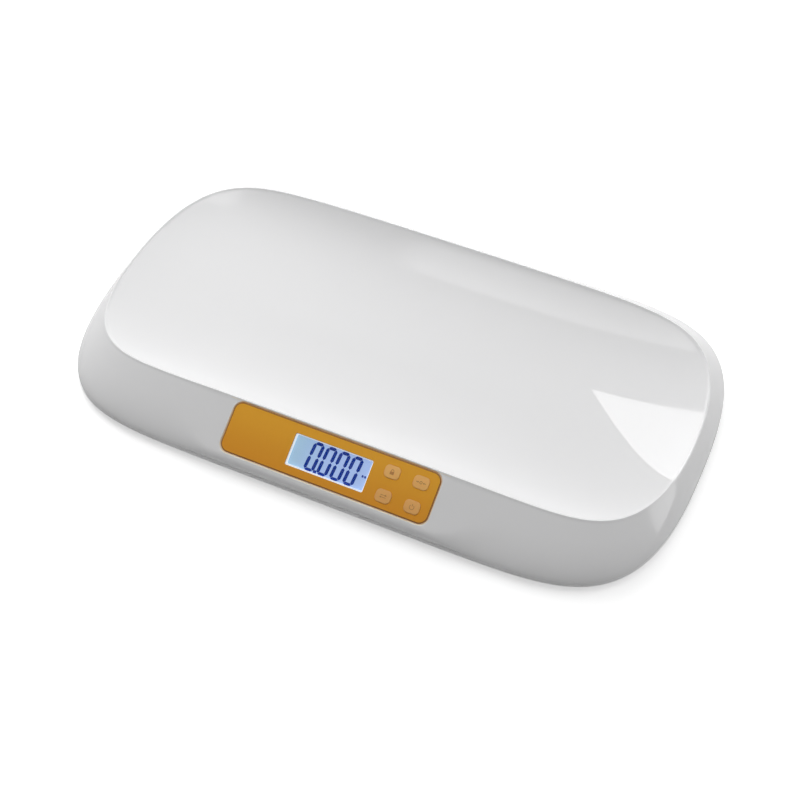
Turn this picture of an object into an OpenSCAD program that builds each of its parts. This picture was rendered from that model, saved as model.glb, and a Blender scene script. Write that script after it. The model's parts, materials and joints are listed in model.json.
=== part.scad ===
// Digital baby weighing scale: a dished tray moulding over a base pan, a sloped display
// panel with four sprung keys at the front, four load-cell feet and a battery well below.
// Millimetres. X runs along the tray, the display faces -Y, and Z = 0 is the table.

/* [Housing] */
// Overall length of the housing
body_len = 550; // [530:1:580]
// Overall width of the housing
body_wid = 314; // [304:1:330]
// Height of the rim above the table at mid-length
rim_h = 44; // [42:0.5:54]
// How much lower the rim is at its two ends
rim_drop = 9; // [0:0.5:12]
// From each end of the housing to the inside of the rim
end_margin = 13.5; // [12:0.5:22]
// From the front of the housing to the inside of the rim
front_margin = 45.5; // [44:0.5:50]
// From the back of the housing to the inside of the rim
back_margin = 29.5; // [27:0.5:34]
// Height of the tray's floor above the table
tray_floor_h = 23; // [22:0.5:27]
// Width of the rounded rim
rim_wid = 2.5; // [2:0.1:5]
// Wall thickness of the upper moulding
wall_t = 2.8; // [2.2:0.1:3.2]
// Height of the bend where the sloped skirt turns down
bend_h = 17; // [15.5:0.5:20]
// Height of the joint between the two mouldings
seam_h = 8.5; // [7.8:0.1:9.5]
// Open line left at that joint
seam_gap = 0.4; // [0.2:0.05:0.8]
// Clearance between the table and the base pan
base_clear = 4; // [3.5:0.1:5]
// Floor thickness of the base pan
floor_t = 2.4; // [2:0.1:2.8]

/* [Display panel] */
// Length of the printed overlay
panel_w = 187; // [180:0.5:200]
// Height of the overlay along the slope
panel_h = 43; // [41:0.5:44]
// Corner radius of the overlay
panel_r = 8; // [3:0.5:12]
// How far the overlay sits above the middle of the slope
panel_rise = 2.2; // [1.5:0.1:2.6]
// Thickness of the overlay
overlay_t = 1; // [0.6:0.1:1.2]
// Open line round the overlay
overlay_gap = 0.35; // [0.15:0.05:0.6]
// Depth of the recess that the overlay lies in
recess_d = 1.3; // [1.2:0.1:1.6]
// Length of the display window
lcd_w = 70; // [60:0.5:72]
// Height of the display window
lcd_h = 27.5; // [22:0.5:28]

/* [Keys] */
// Width of a key cap
key_w = 13.5; // [10:0.5:15]
// Height of a key cap
key_h = 10.8; // [9:0.1:12]
// Corner radius of a key cap
key_r = 3.8; // [1:0.1:4.2]
// How far the keys sit to the right of the middle between the window and the overlay's end
keys_shift = 0.95; // [0:0.05:2]
// Key spacing along the panel
key_pitch_x = 25.2; // [22:0.1:27]
// Key spacing up the slope
key_pitch_y = 20.6; // [18:0.1:22]
// Travel of a key
key_travel = 0.6; // [0.3:0.05:0.7]

/* [Weighing] */
// From each end of the housing to the middle of a foot
foot_from_end = 70; // [67:1:85]
// From the front and the back of the housing to the middle of a foot
foot_from_side = 62; // [59:1:72]
// Diameter of a foot cap
foot_d = 30; // [26:0.5:30]
// Diameter of a rubber pad
pad_d = 24; // [18:0.5:24]
// Thickness of a rubber pad
pad_t = 1.8; // [1.4:0.1:2.2]
// Side of the square load-cell plate
cell_side = 34; // [32:0.5:35]
// Thickness of the load-cell plate
cell_t = 1.6; // [1.2:0.1:2]

/* [Batteries] */
// Diameter of a battery cell
battery_d = 10.5; // [10:0.1:10.5]
// Length of a battery cell, button included
battery_len = 44.5; // [43:0.5:45]
// Number of battery cells
battery_count = 4; // [2:1:4]
// Thickness of the battery cover
cover_t = 1.8; // [1.5:0.1:2]

/* [Hidden] */
corners = ["front_left", "front_right", "back_left", "back_right"];
key_names = ["hold", "tare", "unit", "power"];

// Smoothness of round parts and of the lofted outlines
$fn = 48;
end_steps = 6;
side_steps = 10;
quarter = end_steps + side_steps;
ring_points = 4 * quarter;
tiny = 0.01;

// Outline of the housing and of the tray: |x/a|^n + |y/b|^m = 1
body_n = 7.4;
body_m = 2.65;
tray_n = 9.2;
tray_m = 2.2;
body_a = body_len / 2;
body_b = body_wid / 2;
tray_a = body_a - end_margin;
tray_b = (body_wid - front_margin - back_margin) / 2;
tray_shift = (front_margin - back_margin) / 2;
foot_x = body_a - foot_from_end;
foot_y = body_b - foot_from_side;
drop_power = 3;

// Points of a quarter of that outline, closest together where it turns most
function quarter_point(k, n, m) =
    k <= end_steps
    ? let (v = pow(0.5, 1 / m) * (1 - pow(1 - k / end_steps, 1.2)))
        [pow(1 - pow(v, m), 1 / n), v]
    : let (u = pow(0.5, 1 / n) * (1 - pow((k - end_steps) / side_steps, 1.5)))
        [u, pow(1 - pow(u, n), 1 / m)];

// Outline points, and the same points lifted to a height that falls towards the ends
function outline(a, b, n, m, yc) = [
    for (i = [0 : ring_points - 1])
    let (
        turn = floor(i / quarter),
        k = i % quarter,
        p = quarter_point(turn % 2 == 0 ? k : quarter - k, n, m)
    )
    [a * p.x * (turn == 0 || turn == 3 ? 1 : -1), yc + b * p.y * (turn < 2 ? 1 : -1)]
];
function lifted(points, a, mid, end) = [
    for (p = points) [p.x, p.y, mid + (end - mid) * pow(abs(p.x / a), drop_power)]
];
function mix(from, to, share) = from + (to - from) * share;
function level_ring(a, b, z) = lifted(outline(a, b, body_n, body_m, 0), a, z, z);

// Rings round the rim: out is the distance outside the tray's edge, down the distance below its top
function rim_ring(out, down) =
    let (a = tray_a + out, b = tray_b + out)
    lifted(outline(a, b, tray_n, tray_m, tray_shift), a, rim_h - down, rim_h - rim_drop - down);

// Rings of the dish: s runs from the edge of its flat floor to 1 at the rim
rim_edge = 0.9;
flat_share = 0.12;
trough = 1.35;
function dish_rise(s) =
    let (q = (s - flat_share) / (1 - flat_share))
    0.55 * pow(q, 2) + 0.45 * pow(q, 6);
function dish_ring(s, down) =
    let (
        a = tray_a - trough * tray_b * (1 - s),
        b = tray_b * s,
        mid = mix(tray_floor_h, rim_h - rim_edge, dish_rise(s)),
        end = mix(tray_floor_h, rim_h - rim_drop - rim_edge, dish_rise(s))
    )
    lifted(outline(a, b, tray_n, tray_m, tray_shift), a, mid - down, end - down);

// Rings of the skirt: share runs from 0 at the rim to 1 at the bend, in moves it inside the wall
function skirt_ring(share, in_flat, in_down) =
    let (
        a = mix(tray_a + rim_wid, body_a, share) - in_flat,
        b = mix(tray_b + rim_wid, body_b, share) - in_flat,
        n = mix(tray_n, body_n, share),
        m = mix(tray_m, body_m, share),
        mid = mix(rim_h - rim_edge, bend_h, share) - in_down,
        end = mix(rim_h - rim_drop - rim_edge, bend_h, share) - in_down
    )
    lifted(outline(a, b, n, m, mix(tray_shift, 0, share)), a, mid, end);

// The bend is a quadratic curve from the slope at bend_start down to an upright wall
bend_start = 0.9;
bend_drop = 4.5;
upright_h = bend_h - bend_drop;
mould_draft = 0.5;
function bend_ring(u, in_flat, in_down) =
    let (
        slope = skirt_ring(bend_start, in_flat, in_down),
        corner = skirt_ring(1, in_flat, in_down),
        low = level_ring(body_a - in_flat, body_b - in_flat, upright_h - in_down)
    )
    [for (i = [0 : ring_points - 1])
        pow(1 - u, 2) * slope[i] + 2 * u * (1 - u) * corner[i] + pow(u, 2) * low[i]];

// Closed solid through a stack of rings, capped at both ends
module loft(rings) {
    rows = len(rings);
    last = (rows - 1) * ring_points;
    polyhedron(
        points = [for (ring = rings) each ring],
        faces = concat(
            [for (r = [0 : rows - 2], i = [0 : ring_points - 1])
                let (p = r * ring_points + i, q = r * ring_points + (i + 1) % ring_points)
                each [[p, q, p + ring_points], [q, q + ring_points, p + ring_points]]],
            [for (i = [1 : ring_points - 2]) [0, i + 1, i]],
            [for (i = [1 : ring_points - 2]) [last, last + i, last + i + 1]]
        )
    );
}

// Rectangle with round corners, centred
module rounded_rect(size, r) {
    offset_x = size.x / 2 - r;
    offset_y = size.y / 2 - r;
    square([size.x, size.y - 2 * r], center = true);
    square([size.x - 2 * r, size.y], center = true);
    for (x = [-offset_x, offset_x], y = [-offset_y, offset_y])
        translate([x, y])
            circle(r);
}

// A plate or a pocket between two heights, with round corners
module rounded_plate(size, r, low, high)
    translate([0, 0, low])
        linear_extrude(high - low)
            rounded_rect(size, r);

// A tube of 8 sides along a list of points that never runs upright
function unit(v) = v / norm(v);
function heading(path, i) = unit(path[min(i + 1, len(path) - 1)] - path[max(i - 1, 0)]);
function rounded_path(path, cut, steps) = concat(
    [path[0]],
    [for (i = [1 : len(path) - 2])
        let (
            back = unit(path[i - 1] - path[i]) * cut,
            ahead = unit(path[i + 1] - path[i]) * cut
        )
        for (j = [0 : steps])
            let (u = j / steps)
            path[i] + pow(1 - u, 2) * back + pow(u, 2) * ahead],
    [path[len(path) - 1]]
);
module tube_through(path, d, side_of = [0, 0, 1]) {
    sides = 8;
    rows = len(path);
    last = (rows - 1) * sides;
    rings = [
        for (i = [0 : rows - 1])
        let (
            along = heading(path, i),
            across = unit(cross(along, side_of)),
            up = cross(across, along)
        )
        [for (k = [0 : sides - 1])
            path[i] + d / 2 * (cos(45 * k) * across + sin(45 * k) * up)]
    ];
    polyhedron(
        points = [for (ring = rings) each ring],
        faces = concat(
            [for (r = [0 : rows - 2], k = [0 : sides - 1])
                let (p = r * sides + k, q = r * sides + (k + 1) % sides)
                each [[p, q, p + sides], [q, q + sides, p + sides]]],
            [[for (k = [sides - 1 : -1 : 0]) k]],
            [[for (k = [0 : sides - 1]) last + k]]
        )
    );
}

// ---- Upper moulding ----

// Frame of the display panel: X along it, Y up the slope, Z out of the wall, origin on the wall
slope_top = [tray_shift - tray_b - rim_wid, rim_h - rim_edge];
slope_low = [-body_b, bend_h];
slope_run = slope_top - slope_low;
slope_angle = atan2(slope_run.y, slope_run.x);
panel_mid = (slope_top + slope_low) / 2 + unit(slope_run) * panel_rise;
module on_panel()
    translate([0, panel_mid.x, panel_mid.y])
        rotate([slope_angle, 0, 0])
            children();

// Depths below the wall's face, measured along the panel's Z
fit = 0.15;
bed_t = 1.7;
bed_face = recess_d + bed_t;
glass_t = 2.8;
light_t = 2.6;
stack_gap = 0.4;
board_t = 1.6;
glass_face = bed_face + fit;
glass_back = glass_face + glass_t;
light_face = glass_back + stack_gap;
light_back = light_face + light_t;
board_face = light_back + stack_gap;
board_back = board_face + board_t;

// Margins round the display
window_ledge = 1;
glass_margin = 3;
frame_wall = 1.6;
light_margin = 1;
light_tab_w = 12;
light_tab_len = 1.6;
strip_w = 60;
strip_t = 2;
glass_w = lcd_w + 2 * glass_margin;
glass_h = lcd_h + 2 * glass_margin;
frame_w = glass_w + 2 * (fit + frame_wall);
frame_h = glass_h + 2 * (fit + frame_wall);
window_r = 1.5;

// Keys: the cap comes through the wall, and its flange stops behind the bed
key_gap = 0.35;
key_proud = 0.5;
flange_w = 1.4;
flange_t = 1;
flange_gap = 0.2;
stem_d = 4;
plunger_d = 3.5;
plunger_gap = 0.1;
switch_side = 6;
switch_t = 3.4;
plunger_out = 0.9;
plunger_in = 1.2;
keys_x = (lcd_w + panel_w) / 4 + keys_shift;
key_spots = [
    for (y = [1, -1], x = [-1, 1])
    [keys_x + x * key_pitch_x / 2, y * key_pitch_y / 2]
];
switch_face = board_face - switch_t;
plunger_top = switch_face - plunger_out;
flange_face = bed_face + flange_gap;

// Board outline in the panel's frame, and its screws
board_left = -frame_w / 2 - 16;
board_right = keys_x + key_pitch_x / 2 + 15;
board_h = 35;
board_screw_d = 2.2;
board_screw_hold = 3.5;
board_head_d = 4;
board_head_t = 1.2;
board_boss_d = 5.4;
board_edge = 3.5;
board_spots = [
    for (x = [board_left + board_edge + 1, board_right - board_edge], y = [-1, 1])
    [x, y * (board_h / 2 - board_edge)]
];

// Housing screws come up from below into posts under the tray moulding
post_d = 8;
screw_d = 3;
screw_head_d = 5.6;
screw_head_t = 2;
screw_sink = 0.6;
screw_fit = 0.4;
thread_ease = 0.1;
drive_w = 3.6;
drive_t = 0.7;
drive_depth = 1.2;
post_from_front = 20;
post_from_back = 17;
post_from_end = 14;
post_past_panel = 40;
post_inside_foot = 75;
post_past_cell = 18;
post_past_foot = 3;
screw_spots = concat(
    [for (x = [-1, 1]) [x * (panel_w / 2 + post_past_panel), post_from_front - body_b]],
    [for (x = [-1, 1]) [x * (foot_x - post_inside_foot), body_b - post_from_back]],
    [for (x = [-1, 1]) [x * (body_a - post_from_end), 0]],
    [for (x = [-1, 1], y = [-1, 1])
        [x * (foot_x + cell_side / 2 + post_past_cell), y * (foot_y + post_past_foot)]]
);
// Height at which the posts meet the bosses of the base pan, and how far a screw reaches past it
post_rise = 3;
post_low = seam_h + post_rise;
screw_bite = 6;

// Battery well: cells lie along X, side by side, under a cover
battery_y = 20;
spring_room = 5;
plate_room = 1.2;
between_cells = 0.5;
above_cells = 0.3;
cell_pitch = battery_d + between_cells;
well_x = battery_len + spring_room + plate_room;
well_y = cell_pitch * battery_count + 2 * above_cells;
well_wall = 1.6;
well_roof = 1.4;
cell_low = base_clear + cover_t + between_cells;
well_top = cell_low + battery_d + above_cells;
cell_z = cell_low + battery_d / 2;

// Corner assemblies, from the table up
foot_gap = 1.6;
foot_sink = 0.6;
foot_top = base_clear + floor_t - foot_sink;
cell_rise = 5.6;
cell_low_z = base_clear + cell_rise;
cell_high_z = cell_low_z + cell_t;
pin_d = 3.8;
pin_rise = 0.4;
retainer_t = 2;
cell_fit = 0.2;
pocket_wall = 2.2;
pocket_slot = 6;
foot_spots = [for (y = [-1, 1], x = [-1, 1]) [x * foot_x, y * foot_y]];

// Ribs under the tray
rib_t = 1.8;
rib_low = 16;
rib_pitch = 0.21 * tray_a;
rib_past_cell = 8;
well_clear = 6;
well_headroom = 4;

shell_white = [0.93, 0.93, 0.94];

// Outer face from the middle of the dish over the rim and down the skirt, then the inner face back
shell_rings = concat(
    [for (s = [flat_share, 0.3, 0.46, 0.6, 0.72, 0.82, 0.9, 0.96]) dish_ring(s, 0)],
    [
        rim_ring(0, rim_edge),
        rim_ring(0.2 * rim_wid, 0.45 * rim_edge),
        rim_ring(0.5 * rim_wid, 0),
        rim_ring(0.8 * rim_wid, 0.45 * rim_edge)
    ],
    [for (share = [0, bend_start / 2]) skirt_ring(share, 0, 0)],
    [for (u = [0, 0.3, 0.6, 1]) bend_ring(u, 0, 0)],
    [level_ring(body_a - mould_draft, body_b - mould_draft, seam_h)],
    [level_ring(body_a - mould_draft - wall_t, body_b - mould_draft - wall_t, seam_h)],
    [level_ring(body_a - wall_t, body_b - wall_t, upright_h)],
    [bend_ring(0.5, 0.85 * wall_t, 0.45 * wall_t)],
    [for (share = [bend_start, bend_start / 2, 0.05]) skirt_ring(share, 0.7 * wall_t, 0.75 * wall_t)],
    [rim_ring(-0.2, 1.3 * wall_t)],
    [for (s = [0.95, 0.86, 0.74, 0.6, 0.42, flat_share]) dish_ring(s, wall_t)]
);

// Solid under the middle of the wall, which trims what hangs from it
core_rings = concat(
    [for (s = [flat_share, 0.42, 0.6, 0.74, 0.86, 0.95]) dish_ring(s, 0.5 * wall_t)],
    [rim_ring(0, 0.9 * wall_t)],
    [for (share = [0.05, bend_start / 2, bend_start]) skirt_ring(share, 0.35 * wall_t, 0.4 * wall_t)],
    [bend_ring(0.5, 0.45 * wall_t, 0.2 * wall_t)],
    [level_ring(body_a - wall_t / 2, body_b - wall_t / 2, upright_h)],
    [level_ring(body_a - mould_draft - wall_t / 2, body_b - mould_draft - wall_t / 2, seam_h)]
);

module posts()
    for (p = screw_spots)
        translate([p.x, p.y, post_low])
            cylinder(d = post_d, h = rim_h - post_low);

module cross_rib(x, share)
    translate([x - rib_t / 2, tray_shift - tray_b * share, rib_low])
        cube([rib_t, 2 * tray_b * share, rim_h - rib_low]);

module ribs() {
    for (side = [-1, 1]) {
        cross_rib(side * rib_pitch, 0.76);
        cross_rib(side * rib_pitch * 2, 0.86);
        cross_rib(side * rib_pitch * 3, 0.86);
        cross_rib(side * (foot_x + cell_side / 2 + rib_past_cell), 0.6);
        translate([-tray_a * 0.92, tray_shift + side * tray_b * 0.4 - rib_t / 2, rib_low])
            cube([tray_a * 1.84, rib_t, rim_h - rib_low]);
    }
}

module top_shell()
    color(shell_white)
        difference() {
            union() {
                difference() {
                    union() {
                        loft(shell_rings);
                        on_panel()
                            panel_bed();
                    }
                    on_panel()
                        room_behind_bed();
                }
                on_panel()
                    board_bosses();
                intersection() {
                    loft(core_rings);
                    union() {
                        posts();
                        difference() {
                            ribs();
                            translate([0, battery_y, 0])
                                cube(
                                    [well_x + 2 * well_clear, well_y + 2 * well_clear,
                                        2 * (well_top + well_headroom)],
                                    center = true);
                        }
                    }
                }
            }
            on_panel()
                panel_cuts();
            for (p = screw_spots)
                translate([p.x, p.y, post_low - tiny])
                    cylinder(d = screw_d, h = screw_bite + 1);
        }

// Flat bed behind the sloped wall, cleared for the display stack, with four bosses for the board
bed_h = frame_h + 1;
bed_sink = 0.2;
module panel_bed()
    translate([board_left, -bed_h / 2, -bed_face])
        cube([board_right - board_left, bed_h, bed_t - bed_sink]);

module room_behind_bed()
    translate([board_left, -bed_h / 2, -bed_face - wall_t])
        cube([board_right - board_left, bed_h, wall_t]);

module board_bosses()
    for (p = board_spots)
        translate([p.x, p.y, -board_face])
            cylinder(d = board_boss_d, h = board_face - bed_face + bed_t / 2);

module panel_cuts() {
    rounded_plate(
        [panel_w + overlay_gap, panel_h + overlay_gap], panel_r + overlay_gap / 2, -recess_d, 12);
    rounded_plate(
        [lcd_w - 2 * window_ledge, lcd_h - 2 * window_ledge], window_r, -bed_face - 1, 0);
    for (p = key_spots)
        translate([p.x, p.y, 0])
            rounded_plate([key_w + 2 * key_gap, key_h + 2 * key_gap], key_r + key_gap, -bed_face - 1, 0);
    for (p = board_spots)
        translate([p.x, p.y, -board_face - tiny])
            cylinder(d = board_screw_d, h = board_screw_hold + 0.5);
}

// ---- Base pan ----

base_in = wall_t + mould_draft;
tongue_t = 2;
tongue_gap = 0.3;
tongue_rise = 2.2;
// What stands on the pan's floor starts this far below its upper face
root = 0.2;
pan_floor = base_clear + floor_t;
edge_in = 2.4;
edge_rise = 2;
pan_rings = [
    level_ring(body_a - edge_in, body_b - edge_in, base_clear),
    level_ring(body_a - edge_in / 2, body_b - edge_in / 2, base_clear + 0.3 * edge_rise),
    level_ring(body_a - edge_in / 4, body_b - edge_in / 4, base_clear + edge_rise),
    level_ring(body_a - mould_draft, body_b - mould_draft, seam_h - seam_gap)
];
module pan_outline(inset)
    polygon(outline(body_a - inset, body_b - inset, body_n, body_m, 0));

cover_ledge = 2.5;
cover_w = well_x + 2 * cover_ledge;
cover_h = well_y + 1.2 * cover_ledge;
cover_gap = 0.4;
cover_sink = 0.15;
cover_r = 3;
tab_w = 8;
tab_len = 2.4;
tab_t = 1;
tab_low = base_clear + 0.95;
tab_slack = 0.5;
tab_root = 3;
tab_swing = 3;
latch_w = 14;
latch_len = 9;
latch_slit = 1;
grip_pitch = 1.8;
grip_t = 0.8;
grip_depth = 0.5;
scoop_t = 1.2;

module base_shell()
    color(shell_white)
        difference() {
            union() {
                difference() {
                    loft([for (i = [len(pan_rings) - 1 : -1 : 0]) pan_rings[i]]);
                    translate([0, 0, pan_floor])
                        linear_extrude(seam_h)
                            pan_outline(base_in);
                }
                translate([0, 0, pan_floor - root])
                    linear_extrude(seam_h + tongue_rise - pan_floor + root)
                        difference() {
                            pan_outline(base_in + tongue_gap);
                            pan_outline(base_in + tongue_gap + tongue_t);
                        }
                for (p = screw_spots)
                    translate([p.x, p.y, pan_floor - root])
                        cylinder(d = post_d, h = post_low - pan_floor + root);
                for (p = foot_spots)
                    translate([p.x, p.y, pan_floor - root])
                        cell_pocket();
                battery_box();
            }
            for (p = screw_spots)
                translate([p.x, p.y, base_clear - 1]) {
                    cylinder(d = screw_d + screw_fit, h = post_low);
                    cylinder(d = screw_head_d + 2 * screw_fit, h = screw_head_t + screw_sink + 1);
                }
            for (p = foot_spots)
                translate([p.x, p.y, base_clear - 1])
                    cylinder(d = foot_d + 2 * foot_gap, h = floor_t + 1 + root);
            battery_cuts();
        }

// Square pocket that holds a load cell by its edges
module cell_pocket() {
    low = pan_floor - root;
    side = cell_side + 2 * cell_fit;
    difference() {
        linear_extrude(cell_high_z - low)
            square(side + 2 * pocket_wall, center = true);
        translate([0, 0, cell_low_z - low])
            linear_extrude(cell_t + 1)
                square(side, center = true);
        translate([0, 0, -1])
            cylinder(d = foot_d - 2, h = cell_high_z);
        for (turn = [0, 180])
            rotate([0, 0, turn])
                translate([side / 2 - 1, -pocket_slot / 2, cell_low_z - low])
                    cube([pocket_wall + 2, pocket_slot, cell_t + 1]);
    }
}

// Walls and roof of the battery well
module battery_box()
    translate([-well_x / 2 - well_wall, battery_y - well_y / 2 - well_wall, pan_floor - root])
        cube([well_x + 2 * well_wall, well_y + 2 * well_wall, well_top + well_roof - pan_floor + root]);

module battery_cuts()
    translate([0, battery_y, 0]) {
        translate([-well_x / 2, -well_y / 2, base_clear - 1])
            cube([well_x, well_y, well_top - base_clear + 1]);
        rounded_plate(
            [cover_w + 2 * cover_gap, cover_h + 2 * cover_gap], cover_r + cover_gap,
            base_clear - 1, base_clear + cover_t);
        for (x = [-1, 1] * well_x / 4)
            translate([x - tab_w / 2 - tab_slack, -cover_h / 2 - tab_len - tab_slack, tab_low - cover_sink])
                cube([tab_w + 2 * tab_slack, tab_len + tab_root + 2 * tab_slack, tab_swing]);
        translate([0, cover_h / 2, base_clear])
            cylinder(d = latch_w, h = 2 * scoop_t, center = true);
    }

// ---- Display ----

module display_overlay()
    color([0.80, 0.52, 0.13])
        on_panel()
            difference() {
                rounded_plate([panel_w - overlay_gap, panel_h - overlay_gap], panel_r - overlay_gap / 2,
                    -recess_d, overlay_t - recess_d);
                rounded_plate([lcd_w + 2 * fit, lcd_h + 2 * fit], window_r + fit, -recess_d - 1, 1);
                for (p = key_spots)
                    translate([p.x, p.y, 0])
                        rounded_plate([key_w + 2 * key_gap, key_h + 2 * key_gap], key_r + key_gap,
                            -recess_d - 1, 1);
            }

module lcd_window()
    color([0.85, 0.92, 1, 0.4])
        on_panel()
            rounded_plate([lcd_w, lcd_h], window_r, -recess_d, overlay_t - recess_d);

module lcd_glass()
    color([0.62, 0.78, 0.90])
        on_panel()
            translate([-glass_w / 2, -glass_h / 2, -glass_back]) {
                cube([glass_w, glass_h, glass_t / 2]);
                translate([0, glass_margin, glass_t / 2])
                    cube([glass_w, glass_h - glass_margin, glass_t / 2]);
            }

module lcd_backlight()
    color([0.90, 0.94, 1])
        on_panel() {
            translate([-lcd_w / 2 - light_margin, -lcd_h / 2, -light_back])
                cube([lcd_w + 2 * light_margin, glass_h - glass_margin, light_t]);
            translate([lcd_w / 2 + light_margin - tiny, -light_tab_w / 2, -light_back])
                cube([light_tab_len, light_tab_w, light_t]);
        }

module lcd_frame()
    color([0.92, 0.92, 0.90])
        on_panel()
            difference() {
                translate([-frame_w / 2, -frame_h / 2, -board_face])
                    cube([frame_w, frame_h, board_face - bed_face]);
                translate([-glass_w / 2 - fit, -glass_h / 2 - fit, -light_face + fit])
                    cube([glass_w + 2 * fit, glass_h + 2 * fit, board_face]);
                translate([-lcd_w / 2 - light_margin - fit, -lcd_h / 2 - fit, -board_face - 1])
                    cube([
                        lcd_w + 2 * (light_margin + fit), glass_h - glass_margin + 2 * fit, board_face]);
                translate([lcd_w / 2, -light_tab_w / 2 - fit, -board_face - 1])
                    cube([light_margin + light_tab_len + fit, light_tab_w + 2 * fit, board_face]);
                translate([-strip_w / 2 - fit, -glass_h / 2 - fit, -board_face - 1])
                    cube([strip_w + 2 * fit, strip_t + 2 * fit, board_face]);
            }

module contact_strip()
    color([0.35, 0.35, 0.38])
        on_panel()
            translate([-strip_w / 2, -glass_h / 2, -board_face])
                cube([strip_w, strip_t, board_face - glass_back]);

// ---- Board ----

module main_board()
    color([0.10, 0.42, 0.22])
        on_panel()
            difference() {
                translate([board_left, -board_h / 2, -board_back])
                    cube([board_right - board_left, board_h, board_t]);
                for (p = board_spots)
                    translate([p.x, p.y, -board_back - 1])
                        cylinder(d = board_screw_d + screw_fit, h = board_t + 2);
            }

// Sealed chip, crystal, capacitor and resistors on the back of the board
module board_parts()
    color([0.08, 0.08, 0.09])
        on_panel()
            translate([0, 0, -board_back]) {
                translate([-10, -3, 0])
                    mirror([0, 0, 1])
                        rotate_extrude()
                            polygon([[0, 0], [8, 0], [7.4, 0.9], [5.5, 1.5], [0, 1.8]]);
                translate([12, 6, -3.4])
                    cube([10, 3.8, 3.4]);
                translate([22, -8, -5])
                    cylinder(d = 5, h = 5);
                for (i = [0 : 4])
                    translate([4 + i * 3.2, -13, -0.7])
                        cube([1.6, 3, 0.7]);
            }

// Plug sockets on the back of the board: two for the sensor leads, one for the battery lead
socket_t = 5;
socket_h = 5;
socket_rise = 4;
// Place along the board, place across it and length of each
socket_spots = [
    [board_left + 10, socket_rise, 12], [lcd_w / 2 + 1, socket_rise, 7], [board_right - 16, socket_rise, 12]
];
module board_sockets()
    color([0.95, 0.94, 0.88])
        on_panel()
            for (s = socket_spots)
                translate([s.x - s.z / 2, s.y - socket_h / 2, -board_back - socket_t])
                    cube([s.z, socket_h, socket_t]);

module board_screws()
    color([0.72, 0.72, 0.74])
        on_panel()
            for (p = board_spots)
                translate([p.x, p.y, -board_back]) {
                    difference() {
                        translate([0, 0, -board_head_t])
                            cylinder(d = board_head_d, h = board_head_t);
                        for (turn = [0, 90])
                            rotate([0, 0, turn])
                                translate([-board_head_d * 0.3, -0.25, -board_head_t - 0.1])
                                    cube([board_head_d * 0.6, 0.5, board_head_t * 0.6]);
                    }
                    cylinder(d = board_screw_d - thread_ease, h = board_t + board_screw_hold);
                }

// ---- Keys ----

module key_cap(i)
    color([0.86, 0.60, 0.33])
        on_panel()
            translate([key_spots[i].x, key_spots[i].y, 0]) {
                rounded_plate([key_w, key_h], key_r, -flange_face, overlay_t - recess_d + key_proud);
                rounded_plate([key_w + 2 * flange_w, key_h + 2 * flange_w], key_r + flange_w,
                    -flange_face - flange_t, -flange_face);
                translate([0, 0, -plunger_top])
                    cylinder(d = stem_d, h = plunger_top - flange_face);
            }

module plunger(i)
    color([0.15, 0.15, 0.16])
        on_panel()
            translate([key_spots[i].x, key_spots[i].y, -plunger_top - plunger_out - plunger_in])
                cylinder(d = plunger_d, h = plunger_out + plunger_in);

module key_switch(i)
    color([0.20, 0.20, 0.22])
        on_panel()
            translate([key_spots[i].x, key_spots[i].y, -board_face])
                difference() {
                    translate([-switch_side / 2, -switch_side / 2, 0])
                        cube([switch_side, switch_side, switch_t]);
                    translate([0, 0, switch_t - plunger_in - key_travel - flange_gap])
                        cylinder(d = plunger_d + 2 * plunger_gap, h = switch_t);
                }

// ---- Battery well ----

module battery_cover()
    color(shell_white)
        translate([0, battery_y, 0])
            difference() {
                union() {
                    rounded_plate([cover_w, cover_h], cover_r, base_clear, base_clear + cover_t - cover_sink);
                    for (x = [-1, 1] * well_x / 4)
                        translate([x - tab_w / 2, -cover_h / 2 - tab_len, tab_low])
                            cube([tab_w, tab_len + tab_root, tab_t]);
                }
                for (x = [-1, 1] * latch_w / 2)
                    translate([x - latch_slit / 2, cover_h / 2 - latch_len, base_clear - 1])
                        cube([latch_slit, latch_len + 1, cover_t + 2]);
                for (i = [1 : 4])
                    translate([-latch_w * 0.32, cover_h / 2 - grip_t / 2 - i * grip_pitch, base_clear - 1])
                        cube([latch_w * 0.64, grip_t, grip_depth + 1]);
            }

button_d = 3.8;
button_rise = 0.8;
function cell_y(i) = battery_y + (i - (battery_count - 1) / 2) * cell_pitch;
function cell_way(i) = i % 2 == 0 ? 1 : -1;

module battery_cells()
    color([0.30, 0.42, 0.30])
        for (i = [0 : battery_count - 1])
            translate([cell_way(i) * (spring_room - plate_room) / 2, cell_y(i), cell_z])
                rotate([0, 90 * cell_way(i), 0])
                    translate([0, 0, -battery_len / 2]) {
                        cylinder(d = battery_d, h = battery_len - button_rise);
                        cylinder(d = button_d, h = battery_len);
                    }

// Cone-shaped contact springs: each is one wire of spring_turns turns
spring_turns = 3;
spring_wire = 0.7;
spring_wide = 7.6;
spring_narrow = 4.6;
spring_len = spring_room - spring_wire - 0.3;
function spring_path(steps) = [
    for (i = [0 : steps])
    let (u = i / steps, r = mix(spring_wide, spring_narrow, u) / 2, turn = 360 * spring_turns * u)
    [r * cos(turn), r * sin(turn), spring_wire / 2 + 0.1 + spring_len * u]
];
spring_steps = spring_turns * 8;
echo(least_gap_between_spring_turns = spring_len / spring_turns - spring_wire);

contact_side = battery_d - 2;
contact_t = 0.3;
contact_dome_d = 5;
module contact_plate()
    translate([-contact_side / 2, -contact_side / 2, 0])
        cube([contact_side, contact_side, contact_t]);

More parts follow.
